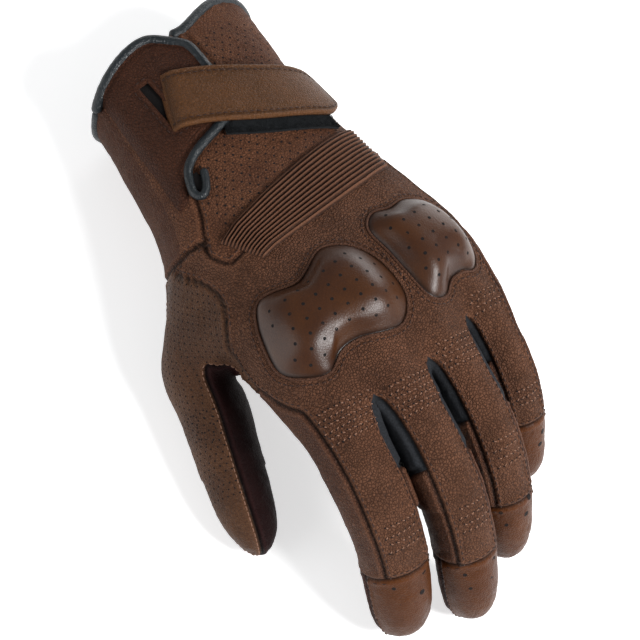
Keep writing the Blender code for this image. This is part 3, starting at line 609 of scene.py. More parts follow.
def skin_edges(quads, group):
    """Edges (low, high) with the groups on each side, for edges where the groups differ."""
    a = quads
    b = np.roll(quads, -1, axis=1)
    ends = np.stack([np.minimum(a, b), np.maximum(a, b)], axis=-1).reshape(-1, 2)
    face = np.repeat(np.arange(len(quads)), 4)
    order = np.lexsort((ends[:, 1], ends[:, 0]))
    ends, face = ends[order], face[order]
    same = (ends[1:] == ends[:-1]).all(1)
    first = np.nonzero(same)[0]
    pairs = ends[first]
    fa, fb = face[first], face[first + 1]
    differ = group[fa] != group[fb]
    return pairs[differ], fa[differ], fb[differ]


def chains(pairs):
    """Edges joined into runs of vertices; a run stops where three or more meet."""
    links = {}
    for a, b in pairs:
        links.setdefault(int(a), []).append(int(b))
        links.setdefault(int(b), []).append(int(a))
    used, runs = set(), []

    def walk(start, after):
        run = [start, after]
        used.add(frozenset((start, after)))
        while len(links[run[-1]]) == 2:
            onward = [v for v in links[run[-1]] if frozenset((run[-1], v)) not in used]
            if not onward:
                break
            used.add(frozenset((run[-1], onward[0])))
            run.append(onward[0])
        return run

    for start in sorted(links, key=lambda v: len(links[v]) == 2):
        for after in links[start]:
            if frozenset((start, after)) not in used:
                runs.append(walk(start, after))
    return runs


def resampled(path, pitch, ends=0.0):
    """Points every pitch along a path, with the direction at each."""
    path = np.array(path)
    steps = np.linalg.norm(np.diff(path, axis=0), axis=1)
    far = np.concatenate([[0.0], np.cumsum(steps)])
    if far[-1] < 2 * ends + pitch:
        return []
    count = int((far[-1] - 2 * ends) / pitch)
    out = []
    for k in range(count + 1):
        s = ends + k * (far[-1] - 2 * ends) / max(count, 1)
        p = np.array([np.interp(s, far, path[:, j]) for j in range(3)])
        q = np.array([np.interp(min(far[-1], s + 0.6), far, path[:, j]) for j in range(3)])
        r = np.array([np.interp(max(0.0, s - 0.6), far, path[:, j]) for j in range(3)])
        out.append((p, unit(q - r + 1e-9)))
    return out


def softened(path, times, closed=False):
    """A path with its corners averaged away; its ends stay where they are unless it is closed."""
    path = np.array(path)
    for _ in range(times):
        inner = path.copy()
        inner[1:-1] = (path[:-2] + 2 * path[1:-1] + path[2:]) / 4
        if closed:
            inner[0] = (path[-1] + 2 * path[0] + path[1]) / 4
            inner[-1] = (path[-2] + 2 * path[-1] + path[0]) / 4
        path = inner
    return path


def fbm(p, scale, octaves=3):
    """Noise with finer noise on top; scale is the size of its broadest bumps."""
    total, amp, f = 0.0, 1.0, 1.0 / scale
    for _ in range(octaves):
        total += amp * noise.noise(Vector(p) * f)
        amp *= 0.5
        f *= 2.1
    return total


def rough(points, *waves):
    """Noise at every one of an array of points, as a sum of (height, scale, octaves)."""
    heights = [sum(h * fbm(p, scale, octaves) for h, scale, octaves in waves) for p in points.reshape(-1, 3)]
    return np.array(heights).reshape(points.shape[:-1])


def staggered(rows, columns, pitch, squash):
    """(across, along) of holes in rows, where every second row is shifted by half a pitch."""
    for row in rows:
        for column in columns:
            yield (column + 0.5 * (row % 2)) * pitch, row * pitch * squash


class Surface:
    """Something that trim is laid on: a mesh with smooth normals."""

    def __init__(self, points, faces, normals):
        self.points, self.faces, self.normals = points, faces, normals
        self.tree = BVHTree.FromPolygons([tuple(p) for p in points], [tuple(map(int, f)) for f in faces])

    def near(self, p):
        """(spot, normal, face) nearest to a point."""
        spot, _, index, _ = self.tree.find_nearest(Vector(p))
        return self._smooth(np.array(spot), index)

    def _smooth(self, spot, index):
        total = np.zeros(3)
        for v in self.faces[index]:
            total += self.normals[v] / (0.05 + np.linalg.norm(self.points[v] - spot)) ** 2
        return spot, unit(total), index

    def hit(self, start, ray):
        """(spot, normal, face) where a ray meets it, or None."""
        spot, _, index, _ = self.tree.ray_cast(Vector(start), Vector(ray))
        if spot is None:
            return None
        return self._smooth(np.array(spot), index)

    def wrap(self, angle, y):
        """As hit, from the wrist's axis outwards."""
        a = math.radians(angle)
        return self.hit((WRIST_MIDDLE, y, 0.0), (math.cos(a), 0.0, math.sin(a)))

    def past_cuff(self, angle, y):
        """(spot, normal) round the wrist, which carries on straight beyond the cuff."""
        spot, normal, _ = self.wrap(angle, max(y, CUFF_END))
        return spot + np.array((0.0, min(0.0, y - CUFF_END), 0.0)), normal

    def drop(self, x, y, below=False):
        """As hit, straight down from over the hand, or up from below it."""
        side = -1.0 if below else 1.0
        return self.hit((x, y, 80.0 * side), (0, 0, -side))


class Build:
    """Gathers points, faces, normals and materials of one piece, in hand millimetres."""

    def __init__(self, name):
        self.name = name
        self.points, self.normals, self.faces, self.mats, self.wear = [], [], [], [], []
        self.count = 0
        self.looks = []

    def add(self, points, faces, look, normals=None, wear=0.0):
        """Adds a mesh; look is the name of one for all its faces, or a list with one for each."""
        points = np.asarray(points, float)
        if normals is None:
            normals = face_normal_points(points, faces)
        looks = [look] * len(faces) if isinstance(look, str) else look
        self.looks += [name for name in dict.fromkeys(looks) if name not in self.looks]
        self.points.append(points)
        self.normals.append(normals)
        self.wear.append(np.full(len(points), wear) if np.isscalar(wear) else wear)
        self.faces += [tuple(int(v) + self.count for v in face) for face in faces]
        self.mats += [self.looks.index(name) for name in looks]
        self.count += len(points)

    def finish(self, node, ride="hand", blend=None):
        """Makes the object that stands for a node and ties it to the body it rides with; with a blend zone it only
        has its transform baked in.
        """
        points = np.concatenate(self.points)
        normals = np.concatenate(self.normals)
        world = (points @ TILT.T + SHIFT) * MM
        mesh = bpy.data.meshes.new(self.name)
        mesh.from_pydata(world.tolist(), [], self.faces)
        mesh.polygons.foreach_set("material_index", self.mats)
        mesh.polygons.foreach_set("use_smooth", [True] * len(self.faces))
        for look in self.looks:
            mesh.materials.append(LOOKS[look])
        place = mesh.attributes.new("hand_mm", "FLOAT_VECTOR", "POINT")
        place.data.foreach_set("vector", points.astype(np.float32).ravel())
        light_and_wear_data = mesh.attributes.new("wear", "FLOAT", "POINT")
        light_and_wear_data.data.foreach_set("value", np.concatenate(self.wear).astype(np.float32))
        mesh.normals_split_custom_set_from_vertices((normals @ TILT.T).tolist())
        obj = bpy.data.objects.new(self.name, mesh)
        bpy.context.scene.collection.objects.link(obj)
        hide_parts(node)
        if blend:
            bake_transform(obj)
        else:
            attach(obj, ride)
        return obj


# ---------------------------------------------------------------- small details


STITCH = (  # each section's place along the stitch, height over the leather and girth
    (-0.5, -0.30, 0.45),
    (-0.40, -0.03, 0.9),
    (-0.15, 0.10, 1.0),
    (0.15, 0.10, 1.0),
    (0.40, -0.03, 0.9),
    (0.5, -0.30, 0.45),
)
STITCH_SIDES = 6
HOLE = ((1.30, -0.04), (1.08, 0.04), (0.96, 0.04), (0.80, 0.015))  # each ring's radius and height
HOLE_SIDES = 10


def circle(centre, radius, side, up, count):
    turns = [2 * math.pi * k / count for k in range(count)]
    return [centre + radius * (math.cos(a) * side + math.sin(a) * up) for a in turns]


def ring_quads(rings, sides):
    """Quads from ring to ring of a tube whose points are given ring by ring."""
    faces = []
    for i in range(rings - 1):
        for k in range(sides):
            m = (k + 1) % sides
            faces.append((i * sides + k, i * sides + m, (i + 1) * sides + m, (i + 1) * sides + k))
    return faces


def end_faces(rings, sides):
    """The two flat ends of such a tube."""
    return [tuple(reversed(range(sides))), tuple((rings - 1) * sides + k for k in range(sides))]


def dish_faces(rings, sides):
    """Quads from ring to ring, and triangles from the last one to a point that comes after it."""
    last = (rings - 1) * sides
    return ring_quads(rings, sides) + [(last + k, last + (k + 1) % sides, last + sides) for k in range(sides)]


def grid_quads(rows, columns, missing=None):
    """Quads of a grid whose points are given row by row; missing says which to leave out."""
    faces = []
    for i in range(rows - 1):
        for j in range(columns - 1):
            if missing is None or not missing[i, j]:
                k = i * columns + j
                faces.append((k, k + 1, k + columns + 1, k + columns))
    return faces


def facing(points, faces, up):
    """The faces, turned over if the first of them looks away from up."""
    a, b, c = (points[v] for v in faces[0][:3])
    return [face[::-1] for face in faces] if np.cross(b - a, c - a) @ up < 0 else faces


def thread(build, p, along, up, length=1.6, radius=0.2, look="thread"):
    """One stitch: a fat little arch of thread that dips into the leather at both ends."""
    side = unit(np.cross(up, along))
    points = []
    for share, lift, girth in STITCH:
        points += circle(p + along * share * length + up * lift, radius * girth, side, up, STITCH_SIDES)
    size = len(STITCH), STITCH_SIDES
    build.add(points, ring_quads(*size) + end_faces(*size), look)


def pinhole(build, p, up, radius=0.5):
    """A punched hole: a soft raised lip round a dished centre, all of it painted near-black as the shade inside
    the hole.
    """
    side = unit(np.cross(up, (0.3, 0.9, 0.2)))
    points = []
    for share, lift in HOLE:
        points += circle(p + up * lift, radius * share, side, np.cross(up, side), HOLE_SIDES)
    points.append(p + up * 0.012)
    build.add(points, dish_faces(len(HOLE), HOLE_SIDES), "hole")


# ---------------------------------------------------------------- materials

LOOKS = {}


def add_node(tree, kind, inputs=None, **settings):
    """A shader node; inputs given as sockets are linked, others are set."""
    made = tree.nodes.new(kind)
    for key, value in settings.items():
        setattr(made, key, value)
    for key, value in (inputs or {}).items():
        if isinstance(value, bpy.types.NodeSocket):
            tree.links.new(value, made.inputs[key])
        else:
            made.inputs[key].default_value = value
    return made


def mixed(tree, factor, a, b):
    """Colour a going to b as factor goes from 0 to 1."""
    made = add_node(tree, "ShaderNodeMix", data_type="RGBA")
    for index, value in ((0, factor), (6, a), (7, b)):
        if isinstance(value, bpy.types.NodeSocket):
            tree.links.new(value, made.inputs[index])
        elif index == 0:
            made.inputs[0].default_value = value
        else:
            made.inputs[index].default_value = (*value, 1.0)
    return made.outputs[2]


def ranged(tree, value, low, high, to_low=0.0, to_high=1.0):
    """A value between low and high, taken to between to_low and to_high."""
    names = ("Value", "From Min", "From Max", "To Min", "To Max")
    return add_node(
        tree, "ShaderNodeMapRange", dict(zip(names, (value, low, high, to_low, to_high)))
    ).outputs[0]


def maths(tree, operation, a, b):
    return add_node(tree, "ShaderNodeMath", {0: a, 1: b}, operation=operation).outputs[0]


def new_look(name):
    made = bpy.data.materials.new(name)
    made.use_nodes = True
    LOOKS[name] = made
    return made.node_tree, made.node_tree.nodes["Principled BSDF"]


def leather(name, colour, shade, rough=0.55, depth=0.26, grain=0.35, gloss=0.5, light=1.7):
    """Grained leather: mottled colour, pebbled relief, painted shade in grooves, creases and undersides, and
    lighter ridges and edges, partly rubbed wear and partly painted highlight.
    """
    tree, shader = new_look(name)
    place = add_node(tree, "ShaderNodeAttribute", attribute_name="hand_mm").outputs["Vector"]
    wear = add_node(tree, "ShaderNodeAttribute", attribute_name="wear").outputs["Fac"]
    broad = add_node(
        tree, "ShaderNodeTexNoise", {"Vector": place, "Scale": 0.07, "Detail": 4.0}
    ).outputs[0]
    fine = add_node(
        tree, "ShaderNodeTexNoise", {"Vector": place, "Scale": 1.3, "Detail": 6.0, "Roughness": 0.75}
    ).outputs[0]
    pebble = add_node(
        tree, "ShaderNodeTexVoronoi", {"Vector": place, "Scale": 1.0}, feature="DISTANCE_TO_EDGE"
    ).outputs["Distance"]
    tone = mixed(tree, ranged(tree, broad, 0.36, 0.64), colour, shade)
    paler = tuple(min(1.0, c * 2.1) for c in colour)
    tone = mixed(tree, maths(tree, "MULTIPLY", ranged(tree, fine, 0.48, 0.72), grain), tone, paler)
    deep = tuple(c * 0.42 for c in shade)
    crack = maths(tree, "MULTIPLY", ranged(tree, pebble, 0.10, 0.0), grain * 1.3)
    tone = mixed(tree, crack, tone, deep)
    # Below nought the per-point value paints shade into the leather; above nought it lightens it, partly as rubbed
    # wear and partly as painted highlight.
    tone = mixed(tree, ranged(tree, wear, 0.0, -1.0), tone, tuple(c * 0.16 for c in shade))
    tone = mixed(tree, ranged(tree, wear, 0.0, 1.0), tone, tuple(min(1.0, c * light) for c in colour))
    tree.links.new(tone, shader.inputs["Base Color"])
    level = maths(tree, "ADD", ranged(tree, pebble, 0.0, 0.22), maths(tree, "MULTIPLY", fine, 1.1))
    bump = add_node(tree, "ShaderNodeBump", {"Height": level, "Distance": depth * MM, "Strength": 1.0})
    tree.links.new(bump.outputs[0], shader.inputs["Normal"])
    tree.links.new(ranged(tree, fine, 0.3, 0.7, rough + 0.07, rough - 0.07), shader.inputs["Roughness"])
    shader.inputs["Specular IOR Level"].default_value = gloss


def cloth(name, colour, rough=0.85, scale=1.6, depth=0.15, carried=False):
    """Knitted cloth, thread or moulded plastic; carried is for a CAD piece, which is in metres."""
    tree, shader = new_look(name)
    if carried:
        place = add_node(tree, "ShaderNodeTexCoord").outputs["Object"]
        scale = scale / MM
    else:
        place = add_node(tree, "ShaderNodeAttribute", attribute_name="hand_mm").outputs["Vector"]
    weave = add_node(
        tree, "ShaderNodeTexNoise", {"Vector": place, "Scale": scale, "Detail": 5.0}
    ).outputs[0]
    paler = tuple(min(1.0, c * 2.2) for c in colour)
    tone = mixed(tree, ranged(tree, weave, 0.4, 0.75), colour, paler)
    tree.links.new(tone, shader.inputs["Base Color"])
    bump = add_node(tree, "ShaderNodeBump", {"Height": weave, "Distance": depth * MM, "Strength": 1.0})
    tree.links.new(bump.outputs[0], shader.inputs["Normal"])
    shader.inputs["Roughness"].default_value = rough
    shader.inputs["Specular IOR Level"].default_value = 0.25


leather("back", (0.096, 0.041, 0.022), (0.060, 0.025, 0.013), rough=0.66, grain=0.8, gloss=0.12)
leather("wrist", (0.108, 0.044, 0.022), (0.070, 0.027, 0.014), rough=0.66, grain=0.8, gloss=0.12)
leather("cuff_palm", (0.074, 0.029, 0.015), (0.052, 0.020, 0.011), rough=0.62, grain=0.6, gloss=0.10)
leather("palm", (0.046, 0.017, 0.012), (0.030, 0.011, 0.008), rough=0.62, grain=0.5, gloss=0.10)
leather("side", (0.082, 0.034, 0.018), (0.052, 0.020, 0.011), rough=0.58, grain=0.7, gloss=0.14)
leather("cap", (0.068, 0.021, 0.005), (0.054, 0.016, 0.004), rough=0.42, depth=0.08, grain=0.3, gloss=0.11)
leather("smooth", (0.050, 0.017, 0.005), (0.034, 0.011, 0.004), rough=0.38, depth=0.02, grain=0.2, gloss=0.32)
leather("strap", (0.092, 0.038, 0.014), (0.068, 0.028, 0.010), rough=0.45, depth=0.16, grain=0.5, gloss=0.14)
leather(
    "thumb_back", (0.072, 0.031, 0.014), (0.050, 0.021, 0.010), rough=0.5, depth=0.14, grain=0.5, gloss=0.14
)
leather(
    "thumb_dark", (0.015, 0.0042, 0.0040), (0.009, 0.0026, 0.0026), rough=0.55, depth=0.1, grain=0.2, gloss=0.08
)
leather("flap", (0.052, 0.019, 0.010), (0.036, 0.013, 0.007), rough=0.62, grain=0.7, gloss=0.10)
# The ribs' ridges are lightened more strongly, as painted highlight on the rib tops.
leather(
    "rib", (0.060, 0.026, 0.014), (0.044, 0.018, 0.010), rough=0.55, depth=0.12, grain=0.4, gloss=0.12,
    light=2.2,
)
leather("piping", (0.015, 0.019, 0.022), (0.008, 0.011, 0.013), rough=0.34, depth=0.09, grain=0.2, gloss=0.35)
leather("stitch_edge", (0.080, 0.036, 0.021), (0.058, 0.025, 0.015), rough=0.6, grain=0.3, gloss=0.12)
cloth("gusset", (0.008, 0.009, 0.011))
cloth("lining", (0.030, 0.024, 0.020), scale=2.2)
cloth("loop", (0.007, 0.008, 0.009), rough=0.95, scale=3.0, depth=0.4)
cloth("thread", (0.022, 0.010, 0.007), rough=0.6, scale=6.0, depth=0.05)
cloth("thread_light", (0.160, 0.084, 0.054), rough=0.55, scale=6.0, depth=0.05)
# Painted shade: the near-black of the shadowed inside of punched holes and of the slot.
cloth("hole", (0.004, 0.003, 0.003), rough=0.9)
cloth("shell", (0.02, 0.02, 0.02), rough=0.5, carried=True)


# ---------------------------------------------------------------- the skin: panels, seams, folds

POINTS, QUADS, KEYS = fine_skin(build_cage(), SUBDIVISION)
NODES = [key.split("|")[0] for key in KEYS]
CENTRES = POINTS[QUADS].mean(1)
LEATHERS = [recut(*key.split("|"), *centre) for key, centre in zip(KEYS, CENTRES)]
KINDS = sorted(set(LEATHERS))
KIND = np.array([KINDS.index(k) for k in LEATHERS])
BASE_NORMALS = point_normals(POINTS, QUADS)
SKIN = Surface(POINTS, QUADS, BASE_NORMALS)

PITCH = math.radians(REST_PITCH)
TILT = np.array(
    ((1, 0, 0), (0, math.cos(PITCH), -math.sin(PITCH)), (0, math.sin(PITCH), math.cos(PITCH)))
)
LINES = {name: finger_line(name) for name in FINGERS}
INDEX_HINGE = LINES["index"](ROOT_AT + ROOT_ZONE / 2)[0]
SHIFT = np.array(JOINTS["index_root_bend"]["pos_m"]) / MM - TILT @ INDEX_HINGE

# Lines drawn on the skin where the leather is creased or sewn but the panels don't end: x and y.
DRAWN_SEAMS = (
    ((31, 12), (34, 20), (37, 25), (40, 32)),
    ((37, 27), (41, 27), (44, 24)),
)
SIDES_TOUCHING = {"index": -1.0, "middle": 1.0}  # how far these fingers' near sides swell into their gap


def seam_runs():
    """Every line where two cuts of leather meet: their names, and points along the line."""
    pairs, side_a, side_b = skin_edges(QUADS, KIND)
    kinds = {}
    for pair, i, j in zip(pairs, side_a, side_b):
        kinds.setdefault(frozenset((LEATHERS[i], LEATHERS[j])), []).append(pair)
    runs = []
    for kind, edges in kinds.items():
        for run in chains(edges):
            if len(run) > 6:
                runs.append((kind, softened(POINTS[run], 14)))
    return runs


def drawn(corners):
    """A line through the corners, laid on the back of the hand."""
    flat = softened([(x, y, 0.0) for x, y in np.array(corners, float)], 0)
    dense = [p for p, _ in resampled(flat, 0.7)]
    dense = softened(dense, 12)
    return np.array([SKIN.drop(x, y)[0] for x, y, _ in dense])


RUNS = seam_runs()
DRAWN = [drawn(corners) for corners in DRAWN_SEAMS]


def distance_to(lines, pitch=0.35):
    """How far each skin point is from the nearest of some lines."""
    spots = [p for line in lines for p, _ in resampled(line, pitch)]
    tree = kdtree.KDTree(len(spots))
    for k, p in enumerate(spots):
        tree.insert(p, k)
    tree.balance()
    return np.array([tree.find(p)[2] for p in POINTS])


SEAM_DEPTH = 0.75
SEAM_LIP = 0.28
BULGE, WIDE_BULGE = 0.6, 1.9  # how far the stretch cloth stands out between two fingers
GATHERS = (1.5, -35.0)  # x and y of the middle of the gathers above the strap


def displaced():
    """The skin with its seams sunk, its edges raised and its leather creased; and its painted light and wear:
    painted shade in seam grooves, creases and fold valleys, and a lighter tone on seam lips and fold ridges.
    """
    plain = frozenset(("wrist", "cuff_palm"))
    sewn = distance_to([line for kind, line in RUNS if kind != plain] + DRAWN)
    height = -SEAM_DEPTH * bell(sewn, 0.0, 0.7) + SEAM_LIP * bell(sewn, 1.5, 0.75)
    # Painted shade in the sunk seam grooves, and a lighter tone on the raised lips beside them.
    wear = -bell(sewn, 0.0, 0.65) + 0.45 * bell(sewn, 1.45, 0.6)
    knit = np.ones(len(POINTS), bool)
    bulge = np.zeros(len(POINTS))
    for quad, leather_name, node in zip(QUADS, LEATHERS, NODES):
        if leather_name != "gusset":
            knit[quad] = False
        bulge[quad] = WIDE_BULGE if node.startswith("gusset_index_middle") else BULGE
    height[knit] = (bulge * np.clip((sewn - 0.3) / 2.0, 0, 1) - SEAM_DEPTH)[knit]
    wear[knit] = -0.6
    for k, p in enumerate(POINTS):
        height[k] += 0.30 * fbm(p, 11.0, 3) + 0.10 * fbm(p + 50.0, 2.6, 2)
        ridge = 1.0 - abs(fbm(p * (1.0, 1.6, 1.0) + 20.0, 9.0, 3)) * 2.2
        crease = max(0.0, ridge - 0.80)
        height[k] -= 0.7 * crease
        # Painted shade in the creases.
        if not knit[k]:
            wear[k] -= 0.6 * crease
    swell = np.zeros(len(POINTS))
    slim = np.zeros(len(POINTS))
    for quad, node in zip(QUADS, NODES):
        finger, _, part = node.partition("_")
        if finger in SIDES_TOUCHING and part != "tip_cap":
            swell[quad] = SIDES_TOUCHING[finger]
        if part in ("tip_cap", "tip_palm", "tip_back"):
            slim[quad] = 0.35 if finger == "thumb" else 0.15
    facing = np.clip((BASE_NORMALS[:, 0] * np.sign(swell) - 0.25) / 0.6, 0, 1)
    height += np.abs(swell) * facing * np.clip((POINTS[:, 1] - 103) / 8, 0, 1) * ~knit
    height -= slim * np.clip(sewn / 3, 0, 1)
    gather = bell(POINTS[:, 0], GATHERS[0], 6.5) * bell(POINTS[:, 1], GATHERS[1], 9.0) * (POINTS[:, 2] > 0)
    fold = np.sin(POINTS[:, 0] * 1.55 + 0.6 * np.sin(POINTS[:, 1] * 0.35))
    height += gather * fold * 1.1
    # Painted light and shade on the gathers: lighter on their ridges, painted shade in their valleys.
    wear += gather * (fold - 0.45) * 0.9
    return POINTS + BASE_NORMALS * height[:, None], wear


SKIN_POINTS, SKIN_PAINTED_LIGHT_AND_WEAR = displaced()
SKIN_NORMALS = point_normals(SKIN_POINTS, QUADS)
WORN = Surface(SKIN_POINTS, QUADS, SKIN_NORMALS)


def skin_builds():
    """One build for every panel, with the panel's part of the skin in it."""
    builds = {}
    names = np.array(NODES)
    kinds = np.array(LEATHERS)
    for name in sorted(set(NODES)):
        chosen = np.nonzero(names == name)[0]
        used, back = np.unique(QUADS[chosen], return_inverse=True)
        build = Build(name.replace("@", "_on_"))
        looks = [str(kind) for kind in kinds[chosen]]
        build.add(SKIN_POINTS[used], back.reshape(-1, 4), looks, SKIN_NORMALS[used], SKIN_PAINTED_LIGHT_AND_WEAR[used])
        builds[name] = build
    return builds


PIECES = skin_builds()


def on_skin(p):
    """(spot, normal, build) of the skin nearest to p."""
    spot, normal, index = WORN.near(p)
    return spot, normal, PIECES[NODES[index]]


def leather_at(p):
    """The cut of leather nearest to p."""
    return LEATHERS[SKIN.near(p)[2]]


def sew_beside(line, off, wanted, pitch=2.25, look="thread"):
    """Stitches along a seam, off millimetres from it on the side where the leather is one of wanted."""
    for p, along in resampled(line, pitch, 1.0):
        _, normal, _ = SKIN.near(p)
        across = unit(np.cross(normal, along))
        for sign in (1, -1):
            if leather_at(p + across * off * sign) in wanted:
                spot, up, build = on_skin(p + across * off * sign)
                thread(build, spot, along, up, look=look)
                break


def sew_skin():
    """The stitches along the seams."""
    for kind, line in RUNS:
        if "back" in kind and not kind & {"wrist"}:
            sew_beside(line, 1.75, ("back",))
        elif "wrist" in kind and "cuff_palm" not in kind:
            sew_beside(line, 1.75, ("back", "wrist"))
        elif "cap" in kind:
            sew_beside(line, 1.5, ("cap",))
        elif kind == frozenset(("thumb_back", "thumb_dark")):
            sew_beside(line, 1.1, ("thumb_back",), pitch=1.9, look="thread_light")
    for line in DRAWN:
        for p, along in resampled(line, 2.25, 1.0):
            _, normal, _ = SKIN.near(p)
            spot, up, build = on_skin(p + unit(np.cross(normal, along)) * 1.7)
            thread(build, spot, along, up)


# Rows of small stitches over the finger backs: distances from the knuckle, half spread in degrees, count.
DOT_ROWS = {
    "index": ((14, 16.2, 18.4, 20.6, 22.8, 25), 46, 9, (52, 54.6, 57.2, 59.8), 32, 6),
    "middle": ((15, 17.2, 19.4, 21.6, 23.8, 26), 42, 8, (56.5, 59, 61.5, 64), 28, 5),
    "ring": ((14, 16.2, 18.4, 20.6, 22.8), 40, 7, (48, 50.4, 52.8, 55.2), 28, 5),
    "little": ((11, 13, 15, 17), 34, 5, (43, 45.2, 47.4), 28, 5),
}
VENTS = {"index": (72, 78), "middle": (79.5, 85), "ring": (71.5, 76.5), "little": (61, 65)}


def on_finger(name, s, angle):
    """Where a ray from a finger's middle meets the skin; angle 0 is the back, positive towards the thumb."""
    centre, along, inwards, nail = LINES[name](s)
    a = math.radians(angle)
    hit = WORN.hit(centre, math.cos(a) * nail + math.sin(a) * inwards)
    return hit, along, inwards


def dot_patches():
    """The rows of short stitches, each with a hole at both its ends."""
    for name, (near, spread_near, count_near, far, spread_far, count_far) in DOT_ROWS.items():
        for stops, half, count in ((near, spread_near, count_near), (far, spread_far, count_far)):
            for row, s in enumerate(stops):
                for k in range(count):
                    angle = -half + 2 * half * (k + 0.5 * (row % 2)) / count
                    (spot, up, index), along, inwards = on_finger(name, s, angle)
                    build = PIECES[NODES[index]]
                    lean = unit(inwards + along * (0.55 if row % 2 else -0.55))
                    thread(build, spot, lean, up, length=1.1, radius=0.19, look="thread_light")
                    for end in (-1, 1):
                        pinhole(build, spot + lean * 0.72 * end, up, radius=0.24)


def vent_holes():
    """The larger holes in the finger caps, two on each side of the nail."""
    for name, stops in VENTS.items():
        for k, s in enumerate(stops):
            (spot, up, index), _, _ = on_finger(name, s, -30 + 12 * k)
            pinhole(PIECES[NODES[index]], spot, up, radius=0.85)
            (spot, up, index), _, _ = on_finger(name, s + 1, 40 - 8 * k)
            pinhole(PIECES[NODES[index]], spot, up, radius=0.6)


def wrist_holes():
    """Small holes in staggered rows between the loop pad and the ribbed band."""
    for x, y in staggered(range(-16, 12), range(-14, 14), 3.9, 0.62):
        y += DORSAL_SLANT * x
        near_band = y > 17.5 + 0.20 * (x + 20)
        gathered = y < -26 and -5 < x < 8
        if not -38 < x < 30 or y < -40 or near_band or gathered:
            continue
        hit = WORN.drop(x, y)
        if hit and LEATHERS[hit[2]] == "wrist":
            pinhole(PIECES[NODES[hit[2]]], hit[0], hit[1], radius=0.36)


def thumb_holes():
    """Small holes over the back of the thumb and the saddle beside it."""
    pitch = 2.4
    for row in range(3, 18):
        s = row * pitch * 0.87
        centre, lateral, nail, _ = thumb_at(s)
        for column in range(-2, 10):
            angle = math.radians((column + 0.5 * (row % 2)) * 12 + 12)
            hit = WORN.hit(centre, math.sin(angle) * nail + math.cos(angle) * lateral)
            if hit and LEATHERS[hit[2]] == "thumb_back":
                pinhole(PIECES[NODES[hit[2]]], hit[0], hit[1], radius=0.27)
    for z, y in staggered(range(8, 40), range(-16, 10), pitch, 0.80):
        hit = WORN.hit((100.0, y, z), (-1.0, 0.0, 0.0))
        if hit and LEATHERS[hit[2]] == "thumb_back" and hit[0][2] >= -26:
            pinhole(PIECES[NODES[hit[2]]], hit[0], hit[1], radius=0.27)


sew_skin()
dot_patches()
vent_holes()
wrist_holes()
thumb_holes()


# ---------------------------------------------------------------- trim


def packed(length, step, fine=(0.0, 0.15, 0.4, 0.75, 1.2, 1.7, 2.1, 2.6)):
    """Distances from 0 to length, close together near both ends."""
    near = [f for f in fine if f < length / 2 - step / 3]
    start = near[-1]
    count = max(1, round((length - 2 * start) / step))
    middle = [start + (length - 2 * start) * k / count for k in range(1, count)]
    return np.array(near + middle + [length - f for f in reversed(near)])


def slab(build, spots, normals, edge, thick, low, look, missing=None, relief=0.0, stitch_line=2.1):
    """A plate with rounded edges on a grid of spots; edge is each spot's distance from its border."""
    r = np.broadcast_to(np.asarray(thick) / 2, edge.shape)
    inset = np.minimum(np.maximum(edge, 0), r)
    drop = r - np.sqrt(np.maximum(r * r - (r - inset) ** 2, 0.0))
    groove = 0.28 * bell(edge, stitch_line, 0.55) if stitch_line else 0.0
    top = spots + normals * (low + thick - drop - groove + relief)[..., None]
    under = spots + normals * (low + drop)[..., None]
    # A lighter tone along the rounded edges and painted shade in the stitch groove.
    wear = 0.35 * bell(edge, 0.7, 0.6) - 1.2 * groove
    faces = grid_quads(*edge.shape, missing)
    faces = facing(top.reshape(-1, 3), faces, normals.reshape(-1, 3)[faces[0][0]])
    build.add(top.reshape(-1, 3), faces, look, wear=wear.ravel())
    # Painted shade on the underside.
    build.add(under.reshape(-1, 3), [face[::-1] for face in faces], look, wear=-0.5)
    return top


def cord_tube(build, path, radius, look, closed=False, sides=14, wear=0.0, wrinkle=0.0):
    """A round cord along a path, with rounded ends; radius may be a row of them, evenly spaced."""
    path = np.array(path, float)
    count = len(path)
    known = np.atleast_1d(radius)
    radii = np.interp(np.linspace(0, 1, count), np.linspace(0, 1, len(known)), known)
    points, faces, light_and_wear_data = [], [], []
    side = None
    steps = np.concatenate([[0.0], np.cumsum(np.linalg.norm(np.diff(path, axis=0), axis=1))])
    for i, p in enumerate(path):
        before = path[i - 1] if i or closed else p
        after = path[(i + 1) % count] if i + 1 < count or closed else p
        along = unit(after - before)
        if side is None:
            side = unit(np.cross(along, (0.31, 0.52, 0.80)))
        side = unit(side - along * (side @ along))
        up = np.cross(along, side)
        r = radii[i]
        if not closed:
            tip = min(steps[i], steps[-1] - steps[i])
            r = r * math.sqrt(max(0.02, 1 - max(0.0, 1 - tip / r) ** 2))
        for k in range(sides):
            a = 2 * math.pi * k / sides
            out = math.cos(a) * side + math.sin(a) * up
            bump = wrinkle * fbm(p + out * 2.0, 2.2, 2)
            points.append(p + (r + bump) * out)
            # Painted shade in the wrinkle valleys.
            light_and_wear_data.append(wear - 1.2 * max(0.0, -bump))
    rings = count if closed else count - 1
    shift = 0
    for i in range(rings):
        j = (i + 1) % count
        if closed and j == 0:
            gaps = [np.linalg.norm(points[i * sides] - points[k]) for k in range(sides)]
            shift = int(np.argmin(gaps))
        for k in range(sides):
            m = (k + 1) % sides
            ahead = (j * sides + (m + shift) % sides, j * sides + (k + shift) % sides)
            faces.append((i * sides + k, i * sides + m, *ahead))
    if not closed:
        faces += end_faces(count, sides)
    build.add(points, faces, look, wear=np.array(light_and_wear_data))


def to_outline(points, outline):
    """Distance of each point from a closed outline, both in x and y."""
    gaps = points[:, None, :] - outline[None, :, :]
    return np.sqrt((gaps**2).sum(-1)).min(1)


